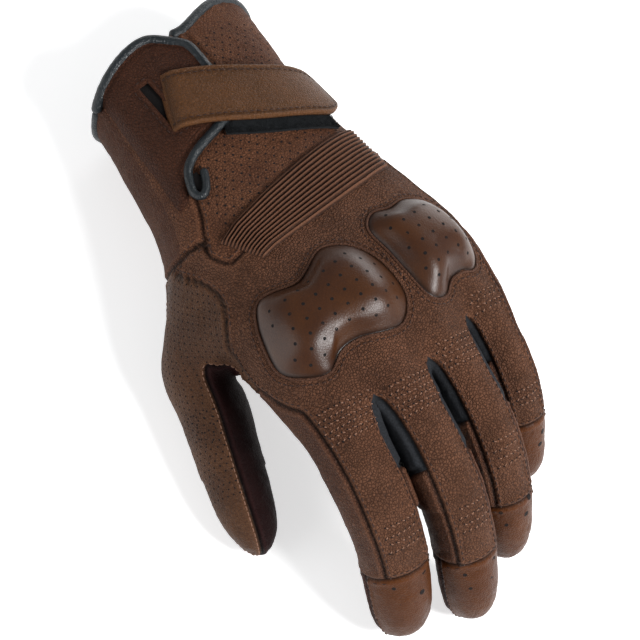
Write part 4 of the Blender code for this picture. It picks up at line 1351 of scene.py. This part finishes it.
def soft_distance(points, outline):
    """As to_outline, but without a ridge in the middle, where the nearest side changes."""
    step = np.linalg.norm(outline - np.roll(outline, 1, axis=0), axis=1)
    gaps = np.sqrt(((points[:, None, :] - outline[None, :, :]) ** 2).sum(-1))
    return ((step * np.maximum(gaps, 0.15) ** -3.0).sum(1) / 2) ** -0.5


def offset_outline(outline, off):
    ahead = np.roll(outline, -2, axis=0) - np.roll(outline, 2, axis=0)
    out = np.stack([ahead[:, 1], -ahead[:, 0]], axis=1)
    out /= np.linalg.norm(out, axis=1, keepdims=True)
    if ((out * (outline - outline.mean(0))).sum(1)).mean() < 0:
        out = -out
    moved = outline + out * off
    return softened(moved, 4, closed=True)


def drawn_in(outline, shares):
    """The outline drawn in towards its middle by each share, one after the other, then the middle."""
    centre = outline.mean(0)
    return np.concatenate([centre + (outline - centre) * share for share in shares] + [centre[None]])


GUARD_SHARES = (
    (1.0, 0.985, 0.97, 0.955, 0.935, 0.91, 0.88, 0.84, 0.79, 0.73, 0.66, 0.58, 0.49, 0.39, 0.28, 0.17, 0.07)
)


def guard(piece, corners, knuckles, grid):
    """A knuckle guard: smooth leather over a hard shell, with rows of holes and a sewn margin.

    knuckles are bumps, as x, y, height and reach; grid is the pitch of the holes and their turn.
    """
    outline = np.array(rounded(corners, 132))
    border = np.array(rounded(corners, 700))
    build = Build(piece)
    flat = drawn_in(outline, GUARD_SHARES)
    rim = to_outline(flat, border)
    hits = [SKIN.drop(x, y) for x, y in flat]
    spots = np.array([h[0] for h in hits])
    up = np.array([h[1] for h in hits])
    mean_up = unit(up.mean(0))
    height = 0.1 + 0.45 * (1 - bell(rim, 0.0, 0.7))
    rise = np.sin(math.pi / 2 * np.clip(soft_distance(flat, border) / 10.0, 0, 1)) ** 1.2
    for x, y, more, reach in knuckles:
        height += more * bell(flat[:, 0], x, reach) * bell(flat[:, 1], y, reach) * rise
    height += (GUARD_RISE + LIFT + COVER - 0.55) * rise
    shares = np.append(np.repeat(GUARD_SHARES, len(outline)), 0.0)
    # The CAD shell under the cover, which the cover has to clear.
    shell = np.array([LIFT + GUARD_RISE * (1 - smoothstep(0.55, 0.97, s)) for s in shares]) + 0.15
    shell *= np.clip((0.92 - shares) / 0.14, 0, 1)
    height = (height**8 + shell**8) ** (1 / 8)
    lean = np.array([unit(u + mean_up * 0.8) for u in up])
    points = spots + lean * height[:, None]
    points += lean * rough(points, (0.12, 12.0, 2))[:, None]
    faces = facing(points, dish_faces(len(GUARD_SHARES), len(outline)), mean_up)
    # Painted shade round the guard's foot, where the dome meets the skin.
    build.add(points, faces, "smooth", wear=-0.9 * bell(rim, 0.0, 0.8))
    dome = Surface(points, faces, face_normal_points(points, faces))
    pitch, turn = grid[0], math.radians(grid[1])
    forward = unit(np.array((0.0, 0.45, 0.90)))
    right = np.array((math.cos(turn), math.sin(turn), 0.0))
    upward = np.cross(forward, right)
    for u, v in staggered(range(-9, 10), range(-9, 10), pitch, 0.80):
        hit = dome.hit(points[-1] + right * u + upward * v + forward * 50, -forward)
        if hit and to_outline(hit[0][None, :2], outline)[0] > 2.3:
            pinhole(build, hit[0], hit[1])
    edge = offset_outline(outline, 0.45)
    path = [SKIN.drop(x, y) for x, y in edge]
    path = [p + normal * 0.10 for p, normal, _ in path]
    cord_tube(build, path, 0.50, "stitch_edge", closed=True, sides=10, wear=0.1)
    seam = np.array([SKIN.drop(x, y)[0] for x, y in offset_outline(outline, 2.3)])
    for p, along in resampled(np.concatenate([seam, seam[:1]]), 2.2):
        spot, normal, _ = WORN.near(p)
        thread(build, spot + normal * 0.05, along, normal)
    build.finish(piece)


def cuff_edge():
    """The skin's open edge, as (angle round the wrist, point, normal), in order."""
    ends = {(int(quad[k]), int(quad[(k + 1) % 4])) for quad in QUADS for k in range(4)}
    out = []
    for v in sorted({a for a, b in ends if (b, a) not in ends}):
        p = POINTS[v]
        angle = math.degrees(math.atan2(p[2], p[0] - WRIST_MIDDLE)) % 360
        out.append((angle, p, BASE_NORMALS[v]))
    return sorted(out, key=lambda item: item[0])


def spread(table, t):
    """Straight-line reading of rows (t, a, b) at t."""
    for low, high in zip(table, table[1:]):
        if t <= high[0]:
            share = (t - low[0]) / (high[0] - low[0])
            return [low[j] * (1 - share) + high[j] * share for j in (1, 2)]
    return list(table[-1][1:])


def ribbed_band():
    """The stretch leather that folds when the hand tips back, gathered into ribs."""
    build = Build("ribbed_band")
    rows, around = BAND_RIBS * RIB_ROWS + 1, BAND_COLUMNS
    spots = np.zeros((around + 1, rows, 3))
    normals = np.zeros_like(spots)
    edge = np.zeros((around + 1, rows))
    phase = np.zeros((around + 1, rows))
    thumb_end, far_end = BAND[0][0], BAND[-1][0]
    for i in range(around + 1):
        t = i / around * (len(BAND) - 1)
        k = min(int(t), len(BAND) - 2)
        x, top, low = (BAND[k][j] * (1 - (t - k)) + BAND[k + 1][j] * (t - k) for j in range(3))
        for j in range(rows):
            y = top + (low - top) * j / (rows - 1)
            start = thumb_end - BAND_SLANT * j / (rows - 1)
            across = start + (x - thumb_end) * (start - far_end) / (thumb_end - far_end)
            spot, normal, _ = SKIN.drop(across, y)
            spots[i, j], normals[i, j] = spot, normal
            edge[i, j] = min(y - top, low - y, (x + 33) * 1.1, (start - across) * 0.8)
            phase[i, j] = j / (rows - 1) * BAND_RIBS
    ridge = np.abs(np.sin(np.pi * phase)) ** 1.8
    height = 0.15 + (LIFT + 0.35) * (1 - np.exp(-np.maximum(edge, 0) / 0.8))
    height += 1.05 * ridge * np.clip(edge / 1.5, 0.25, 1)
    points = spots + normals * (height + rough(spots, (0.10, 6.0, 2)))[..., None]
    # Painted highlight on the rib tops and painted shade in the grooves between them.
    wear = 1.2 * ridge**3 - 0.55 * (1 - ridge)
    flat = points.reshape(-1, 3)
    faces = facing(flat, grid_quads(*edge.shape), normals[0, 0])
    build.add(flat, faces, "rib", wear=np.clip(wear, -1, 0.9).ravel())
    build.finish("ribbed_band")


STRAP_SEAMS = (7, -8)  # columns of the strap's grid that its stitches follow
FIBRE = 0.07  # half width of a fibre
FIBRE_FACES = ((0, 1, 4, 3), (1, 2, 5, 4), (2, 0, 3, 5), (3, 4, 6), (4, 5, 6), (5, 3, 6))


def strap_frame(share):
    """The skin under the strap's middle line, at a share of its length."""
    angle = STRAP_START + (STRAP_END - STRAP_START) * share
    y = STRAP_Y[0] + (STRAP_Y[1] - STRAP_Y[0]) * share
    return SKIN.wrap(angle, y)


def strap_grid(first, last, width, sideways=0.0, step=1.6, clip=0.0):
    """Spots, normals, border distances and shares along a band that follows the strap's line.

    The band's far end is rounded off over its last clip millimetres.
    """
    shares = np.linspace(first, last, 160)
    line = softened([strap_frame(s)[0] for s in shares], 20)
    far = np.concatenate([[0.0], np.cumsum(np.linalg.norm(np.diff(line, axis=0), axis=1))])
    along_stops = packed(far[-1], step)
    across_stops = packed(width, step)
    spots = np.zeros((len(along_stops), len(across_stops), 3))
    normals = np.zeros_like(spots)
    edge = np.zeros(spots.shape[:2])
    for i, s in enumerate(along_stops):
        share = np.interp(s, far, shares)
        here = np.array([np.interp(s, far, line[:, k]) for k in range(3)])
        ahead = np.array([np.interp(s + 2, far, line[:, k]) for k in range(3)])
        behind = np.array([np.interp(s - 2, far, line[:, k]) for k in range(3)])
        normal = strap_frame(share)[1]
        along = unit(ahead - behind)
        across = unit(np.cross(normal, along))
        left = far[-1] - s
        squeeze = 1.0
        if clip and left < clip:
            squeeze = math.sqrt(max(0.05, 1 - ((clip - left) / clip) ** 2.6))
        for j, w in enumerate(across_stops):
            off = (w - width / 2) * squeeze + sideways
            spot, out, _ = SKIN.near(here + across * off)
            spots[i, j], normals[i, j] = spot, unit(out + normal)
            edge[i, j] = min(w * squeeze, (width - w) * squeeze, s, left)
    return spots, normals, edge, along_stops / far[-1]


def calm(grid, times):
    """A grid of vectors with its small bumps averaged away."""
    for _ in range(times):
        inner = grid.copy()
        inner[1:-1] = (grid[:-2] + 2 * grid[1:-1] + grid[2:]) / 4
        inner[:, 1:-1] = (inner[:, :-2] + 2 * inner[:, 1:-1] + inner[:, 2:]) / 4
        grid = inner
    return grid


def strap():
    """The strap, the hook pad under its end, and the loop pad on the wrist that it closes on."""
    build = Build("strap")
    spots, normals, edge, share = strap_grid(0.0, 0.955, STRAP_WIDTH, clip=9.0)
    normals = calm(normals, 8)
    low = STRAP_HEIGHT[0] + (STRAP_HEIGHT[1] - STRAP_HEIGHT[0]) * np.clip((share - 0.1) / 0.26, 0, 1)
    dive = np.clip(1 - share / 0.08, 0, 1)
    low = low - 2.7 * dive**1.4 - 0.7 * np.clip((share - 0.7) / 0.2, 0, 1)
    relief = rough(spots, (0.16, 14.0, 2), (0.06, 3.0, 2))
    thick = STRAP_THICK * (1 - 0.6 * dive)[:, None]
    top = slab(build, spots, normals, edge, thick, low[:, None], "strap", relief=relief)
    for column in STRAP_SEAMS:
        for p, along in resampled(top[3:-5, column], 2.3, 1.5):
            i = int(np.argmin(((top - p) ** 2).sum(-1).min(1)))
            thread(build, p, along, normals[i, column])
    build.finish("strap", ride="strap")

    hook = Build("strap_hook_pad")
    low = LIFT + LOOP_PAD + 0.45
    spots, normals, edge, _ = strap_grid(0.60, 0.87, STRAP_WIDTH - 5, step=1.2)
    slab(hook, spots, calm(normals, 6), edge, HOOK_PAD, low, "loop", stitch_line=0)
    fuzz(hook, spots, normals, edge, low, -0.35, 500)
    hook.finish("strap_hook_pad", ride="strap")

    pad = Build("loop_pad")
    low = LIFT * 0.3
    spots, normals, edge, _ = strap_grid(0.36, 0.93, STRAP_WIDTH, sideways=-3.0, step=1.2)
    slab(pad, spots, calm(normals, 4), edge, LOOP_PAD, low, "loop", stitch_line=1.3)
    fuzz(pad, spots, normals, edge, low + LOOP_PAD, 0.9, 4200)
    pad.finish("loop_pad")


def fuzz(build, spots, normals, edge, low, length, count):
    """Short bent fibres scattered over a pad, each a three-sided spike with a knee."""
    m, n = edge.shape
    for _ in range(count):
        i, j = random.randrange(m - 1), random.randrange(n - 1)
        u, v = random.random(), random.random()
        p = (
            spots[i, j] * (1 - u) * (1 - v)
            + spots[i + 1, j] * u * (1 - v)
            + spots[i, j + 1] * (1 - u) * v
            + spots[i + 1, j + 1] * u * v
        )
        up = normals[i, j]
        side = unit(np.array([random.gauss(0, 1) for _ in range(3)]))
        lean = unit(up + side * 0.9)
        foot = p + up * (low - 0.08)
        wide = unit(np.cross(lean, up + 0.01)) * FIBRE
        third = np.cross(unit(wide), lean) * FIBRE
        knee = foot + lean * length * 0.6
        tip = knee + unit(lean + side * 0.8) * length * 0.5
        corners = (-wide, wide, third)
        points = [foot + c for c in corners] + [knee + c * 0.7 for c in corners] + [tip]
        build.add(points, FIBRE_FACES, "loop")


# The flap as it shows: angle, upper y, lower y. Its lower corner is sewn down, without an edge.
FLAP_SHOWN = (
    (14, -39, 16),
    (27, -41.7, 15.5),
    (30, -42.5, 12),
    (32, -42.9, 7),
    (35, -43.5, 2.5),
    (43, -45.1, -1),
    (55, -46.8, -3),
    (70, -47.5, -5),
    (79, -46, -6),
    (101, -38, -8),
)
PER_DEGREE = 0.56  # arc length on the wrist for one degree


def flap_border():
    """The flap's free edge, as (angle, y): along the cuff, down the far side and back to the slit."""
    top = [(a, spread(FLAP_SHOWN, a)[0]) for a in range(14, 101, 3)]
    side = [(101, y) for y in range(-38, -8, 3)]
    back = (101, 92, 84, 76, 68, 60, 52, 46, 41, 37.5, 35, 33.3, 32, 31, 30.4)
    low = [(a, spread(FLAP_SHOWN, a)[1]) for a in back]
    return top, side, low


def flap():
    """The flap of leather that laps over the back, with the slot that the strap comes out of."""
    build = Build("wrist_flap")
    angles = FLAP_FROM + packed((FLAP_TO - FLAP_FROM) * PER_DEGREE, 0.9) / PER_DEGREE
    angles = np.array(sorted(set(np.round(angles, 3)) | {SLOT[0], SLOT[1]}))
    inner = np.linspace(SLOT[2], SLOT[3], 20)
    border = [(a * PER_DEGREE, y) for part in flap_border() for a, y in part]
    border = np.array([p[:2] for p, _ in resampled([(x, y, 0.0) for x, y in border], 0.4)])
    grid_y, edge, sunk = [], [], []
    for angle in angles:
        top, low = spread(FLAP_SHOWN, angle)
        share = np.linspace(0, 1, 20)
        upper = top + (SLOT[2] - top) * share**1.5
        lower = SLOT[3] + (low - SLOT[3]) * (1 - (1 - share) ** 1.4)
        ys = np.concatenate([upper[:-1], inner, lower[1:]])
        grid_y.append(ys)
        out = to_outline(np.array([(angle * PER_DEGREE, y) for y in ys]), border)
        for k, y in enumerate(ys):
            dx = max(SLOT[0] - angle, angle - SLOT[1], 0) * PER_DEGREE
            dy = max(SLOT[2] - y, y - SLOT[3], 0)
            out[k] = min(out[k], math.hypot(dx, dy))
        edge.append(out)
        near = (angle - FLAP_FROM) * PER_DEGREE
        sunk.append([1 - smoothstep(0.0, 8.0, min(near, low - y if angle < 31 else near)) for y in ys])
    grid_y, edge, sunk = np.array(grid_y), np.array(edge), np.array(sunk)
    spots = np.zeros((*edge.shape, 3))
    normals = np.zeros_like(spots)
    for i, angle in enumerate(angles):
        for j, y in enumerate(grid_y[i]):
            spots[i, j], normals[i, j] = SKIN.past_cuff(angle, y)
    missing = np.zeros(edge.shape, bool)
    for i, angle in enumerate(angles[:-1]):
        for j in range(edge.shape[1] - 1):
            middle = (angle + angles[i + 1]) / 2, (grid_y[i, j] + grid_y[i, j + 1]) / 2
            missing[i, j] = SLOT[0] < middle[0] < SLOT[1] and SLOT[2] < middle[1] < SLOT[3]
    relief = rough(spots, (0.34, 12.0, 3), (0.07, 2.6, 2)) * np.clip(edge / 2, 0, 1)
    low = 0.45 - 3.2 * sunk
    top = slab(build, spots, calm(normals, 3), edge, FLAP_THICK + 0.3, low, "flap", missing, relief)
    around = []
    for k in range(90):
        a = 2 * math.pi * k / 90
        cx, cy = (SLOT[0] + SLOT[1]) / 2, (SLOT[2] + SLOT[3]) / 2
        ca, sa = math.cos(a), math.sin(a)
        wide = (SLOT[1] - SLOT[0]) / 2 + 2.1 / PER_DEGREE
        tall = (SLOT[3] - SLOT[2]) / 2 + 2.1
        share = (abs(ca) ** 4 + abs(sa) ** 4) ** -0.25
        around.append(SKIN.past_cuff(cx + wide * ca * share, cy + tall * sa * share)[0])
    for p, along in resampled(np.array(around + around[:1]), 2.2):
        i, j = np.unravel_index(int(np.argmin(((top - p) ** 2).sum(-1))), edge.shape)
        thread(build, top[i, j] - normals[i, j] * 0.03, along, normals[i, j])
    # Painted shade: dark sheets in the slot and in the foot of the slit.
    patch(build, (SLOT[0] - 2, SLOT[1] + 2), (SLOT[2] - 1, SLOT[3] + 1), 0.30)
    patch(build, (33, 38.5), (5, 11.5), 0.5)
    build.finish("wrist_flap")


def patch(build, angles, ys, height):
    """A dark sheet laid close over the skin: painted shade for the shadow that shows in the slot and in the foot
    of the slit.
    """
    rows, columns = 8, 20
    dark = []
    for angle in np.linspace(*angles, rows):
        for y in np.linspace(*ys, columns):
            spot, normal = SKIN.past_cuff(angle, y)
            dark.append(spot + normal * height)
    up = SKIN.past_cuff(angles[0], ys[0])[1]
    build.add(dark, facing(dark, grid_quads(rows, columns), up), "hole")


def smooth_path(points, pitch=0.6, times=6):
    dense = np.array([p for p, _ in resampled(points, pitch)])
    return softened(dense, times)


BINDING = 1.95  # radius of the edge binding as it shows
WRINKLE = 0.12
# The foot of the slit: angles and y.
SLIT_TURN = (
    (30.4, 10), (30.7, 12.4), (32.2, 14.0), (34.8, 13.8), (37.6, 11.8), (40.2, 8.8), (42.6, 5.4),
)


def pipings():
    """The bound edges of the cuff, the flap and the foot of the slit."""
    rim = cuff_edge()
    down = np.array((0.0, -0.9, 0.0))
    path = [p - n * 0.9 + down for a, p, n in rim if a > FLAP_TO - 5]
    path += [p - n * 0.9 + down for a, p, n in rim if a < FLAP_FROM - 1]
    build = Build("cuff_piping")
    cord_tube(build, smooth_path(path, 0.7), BINDING, "piping", wrinkle=WRINKLE)
    build.finish("cuff_piping")

    def at(angle, y, height=1.15):
        spot, normal = SKIN.past_cuff(angle, y)
        return spot + normal * height

    top, side, low = flap_border()
    path = [at(a, y - 0.7) for a, y in top]
    path += [at(a + 1.5, y) for a, y in side]
    path += [at(a, y + 0.3) for a, y in low]
    build = Build("flap_piping")
    girth = (BINDING, BINDING, BINDING, 1.8, 1.5)
    cord_tube(build, smooth_path(path, 0.7, 14), girth, "piping", wrinkle=WRINKLE)
    build.finish("flap_piping")
    build = Build("slit_piping")
    path = [at(a, y, 1.15 - 0.10 * k) for k, (a, y) in enumerate(SLIT_TURN)]
    path = [at(31.2, 9.0)] + path
    cord_tube(build, smooth_path(path, 0.5, 8), 1.45, "piping", wrinkle=WRINKLE)
    build.finish("slit_piping")


CUFF_THICK = 1.7  # leather and lining together


def cuff_lining():
    """The cloth inside the cuff, joined to the leather round the open edge."""
    chosen = [q for q in QUADS if POINTS[q, 1].max() < -14]
    used, back = np.unique(np.array(chosen), return_inverse=True)
    faces = back.reshape(-1, 4)
    build = Build("cuff_lining")
    depth = CUFF_THICK + rough(POINTS[used], (0.25, 8.0, 2))
    inner = POINTS[used] - BASE_NORMALS[used] * depth[:, None]
    build.add(inner, faces[:, ::-1], "lining")
    rim = cuff_edge()
    n = len(rim)
    points = [p for _, p, _ in rim] + [p - normal * CUFF_THICK for _, p, normal in rim]
    faces = [(k, (k + 1) % n, (k + 1) % n + n, k + n) for k in range(n)]
    build.add(points, faces, "lining")
    build.add(points, [face[::-1] for face in faces], "lining")
    build.finish("cuff_lining")


def heel_pad():
    """A sewn pad of soft leather on the heel of the palm, filled with foam."""
    outline = np.array(rounded(HEEL_PAD, 90))
    shares = (1.0, 0.985, 0.965, 0.94, 0.90, 0.84, 0.76, 0.64, 0.48, 0.30, 0.12)
    flat = drawn_in(outline, shares)
    rim = to_outline(flat, np.array(rounded(HEEL_PAD, 500)))
    tops = np.array([SKIN.drop(x, y, below=True)[0] for x, y in flat])
    level = np.array([(TILT @ (t + (0, 0, -LIFT)))[2] for t in tops]).min() - HEEL_DROP
    points = []
    for top, r in zip(tops, rim):
        tipped = TILT @ top
        fall = smoothstep(0.0, 4.5, r) ** 0.8
        seam = 0.35 * bell(r, 2.2, 0.6)
        tipped[2] = (tipped[2] - 0.4) * (1 - fall) + level * fall + seam
        points.append(TILT.T @ tipped)
    points = np.array(points)
    faces = facing(points, dish_faces(len(shares), len(outline)), (0.0, 0.0, -1.0))
    build = Build("palm_heel_pad")
    # Painted shade round the pad's rim and in its stitch groove.
    wear = -0.9 * bell(rim, 0.0, 0.8) - 0.4 * bell(rim, 2.2, 0.6)
    build.add(points, faces, "palm", wear=wear)
    pad = Surface(points, faces, face_normal_points(points, faces))
    line = outline.mean(0) + (outline - outline.mean(0)) * 0.90
    spots = [pad.drop(x, y, below=True) for x, y in line]
    for p, along in resampled(np.array([s[0] for s in spots] + [spots[0][0]]), 2.3):
        spot, normal, _ = pad.near(p)
        thread(build, spot, along, normal)
    obj = build.finish("palm_heel_pad")


WIDE_KNUCKLES = ((33, 81, 1.6, 8.5), (8, 80, 1.6, 8.5))
NARROW_KNUCKLES = ((-15, 79, 1.4, 7.5), (-33, 75, 1.2, 7.5))
guard("guard_index_middle_cover", WIDE_GUARD, WIDE_KNUCKLES, (5.4, 8.0))
guard("guard_ring_little_cover", NARROW_GUARD, NARROW_KNUCKLES, (5.4, 4.0))
ribbed_band()
strap()
flap()
pipings()
cuff_lining()
heel_pad()


# ---------------------------------------------------------------- what every piece moves with


def world_point(p):
    """A point of the hand in the world, in metres."""
    return tuple((TILT @ np.array(p) + SHIFT) * MM)


def finish_skin():
    """Every panel of the skin made; a stiff one is tied to its body, and a bending one only has its transform
    baked in.
    """
    for name, build in PIECES.items():
        node = name.split("@")[0]
        finger = name.split("@")[1] if "@" in name else name.split("_")[0]
        zone = build_zone(node, finger)
        if zone is None:
            build.finish(node, ride=BODY_OF[node])
        else:
            build.finish(node, blend=zone)


def build_zone(node, finger):
    """The two bodies a bending piece joins and the points it bends between; None if it is stiff."""
    if finger in FINGERS:
        reach = FINGERS[finger]["reach"]
        first = FINGERS[finger]["bones"][0]
        line = LINES[finger]
        if node.endswith("joint_sleeve"):
            start = line(first - JOINT_ZONE * reach / 2 + 2)[0]
            end = line(first + JOINT_ZONE * reach / 2 - 2)[0]
            return f"{finger}_base", f"{finger}_tip", world_point(start), world_point(end)
        if node.startswith("gusset") or "_root_" in node or "_base_" in node:
            start = line((ROOT_AT + 7) * reach)[0]
            end = line((ROOT_AT + ROOT_ZONE) * reach + 5)[0]
            return "hand", f"{finger}_base", world_point(start), world_point(end)
    if node == "thumb_root_sleeve":
        return "hand", "thumb_middle", world_point(thumb_at(-9)[0]), world_point(thumb_at(-1)[0])
    if node == "thumb_joint_sleeve":
        return "thumb_middle", "thumb_tip", world_point(thumb_at(16)[0]), world_point(thumb_at(27)[0])
    return None


BODY_OF = {node: body for body, nodes in frame["record"]["behaviour"]["bodies"].items() for node in nodes}
finish_skin()

for name in ("guard_index_middle_shell", "guard_ring_little_shell"):
    frame["nodes"][name].data.materials[0] = LOOKS["shell"]


# ---------------------------------------------------------------- floor, light, camera


def turned(v):
    """A direction of the hand in the world."""
    return Vector(TILT @ np.array(v, float))


def stage():
    """The pale floor and the light all round."""
    mesh = bpy.data.meshes.new("floor")
    mesh.from_pydata([(-4, -4, 0), (4, -4, 0), (4, 4, 0), (-4, 4, 0)], [], [(0, 1, 2, 3)])
    floor = bpy.data.objects.new("floor", mesh)
    bpy.context.scene.collection.objects.link(floor)
    pale = bpy.data.materials.new("floor")
    pale.use_nodes = True
    shader = pale.node_tree.nodes["Principled BSDF"]
    shader.inputs["Base Color"].default_value = (0.88, 0.88, 0.88, 1.0)
    shader.inputs["Roughness"].default_value = 0.9
    shader.inputs["Emission Color"].default_value = (1.0, 1.0, 1.0, 1.0)
    shader.inputs["Emission Strength"].default_value = 0.6
    mesh.materials.append(pale)
    floor.location = (0, 0, -0.0005)
    world = bpy.data.worlds.new("studio")
    bpy.context.scene.world = world
    world.use_nodes = True
    world.node_tree.nodes["Background"].inputs[0].default_value = (0.95, 0.97, 1.0, 1.0)
    world.node_tree.nodes["Background"].inputs[1].default_value = WORLD_LIGHT


def lamp(name, direction, size, power, target):
    """A soft light that looks at the target from a direction of the hand."""
    light = bpy.data.lights.new(name, "AREA")
    light.shape = "DISK"
    light.size = size
    light.energy = power
    obj = bpy.data.objects.new(name, light)
    away = turned(unit(np.array(direction, float)))
    obj.location = target + away * 0.95
    obj.rotation_mode = "QUATERNION"
    obj.rotation_quaternion = away.to_track_quat("Z", "Y")
    bpy.context.scene.collection.objects.link(obj)


WORLD_LIGHT = 0.24
LENS = 145.3
DISTANCE = 0.9  # from the camera to its target, in metres
# The camera's axes in the hand's frame.
RIGHT, UP, BACK = (-0.788, 0.606, 0.106), (-0.468, -0.702, 0.537), (0.400, 0.373, 0.837)
TARGET = Vector(world_point((5.0, 55.4, -27.1)))
stage()
lamp("key", (-0.28, 0.74, 0.62), 0.42, 13.5, TARGET)
lamp("fill", (0.92, -0.20, 0.40), 0.8, 3.6, TARGET)
lamp("rim", (-0.95, -0.45, 0.30), 0.5, 3.0, TARGET)

camera = bpy.data.objects.new("camera", bpy.data.cameras.new("camera"))
bpy.context.scene.collection.objects.link(camera)
camera.data.sensor_width = 36.0
camera.data.lens = LENS
camera.data.clip_start, camera.data.clip_end = 0.05, 20.0
axes = [turned(v) for v in (RIGHT, UP, BACK)]
camera.matrix_world = Matrix.Translation(TARGET + axes[2] * DISTANCE) @ Matrix(axes).transposed().to_4x4()
bpy.context.scene.camera = camera

bpy.context.scene.view_settings.view_transform = "Standard"
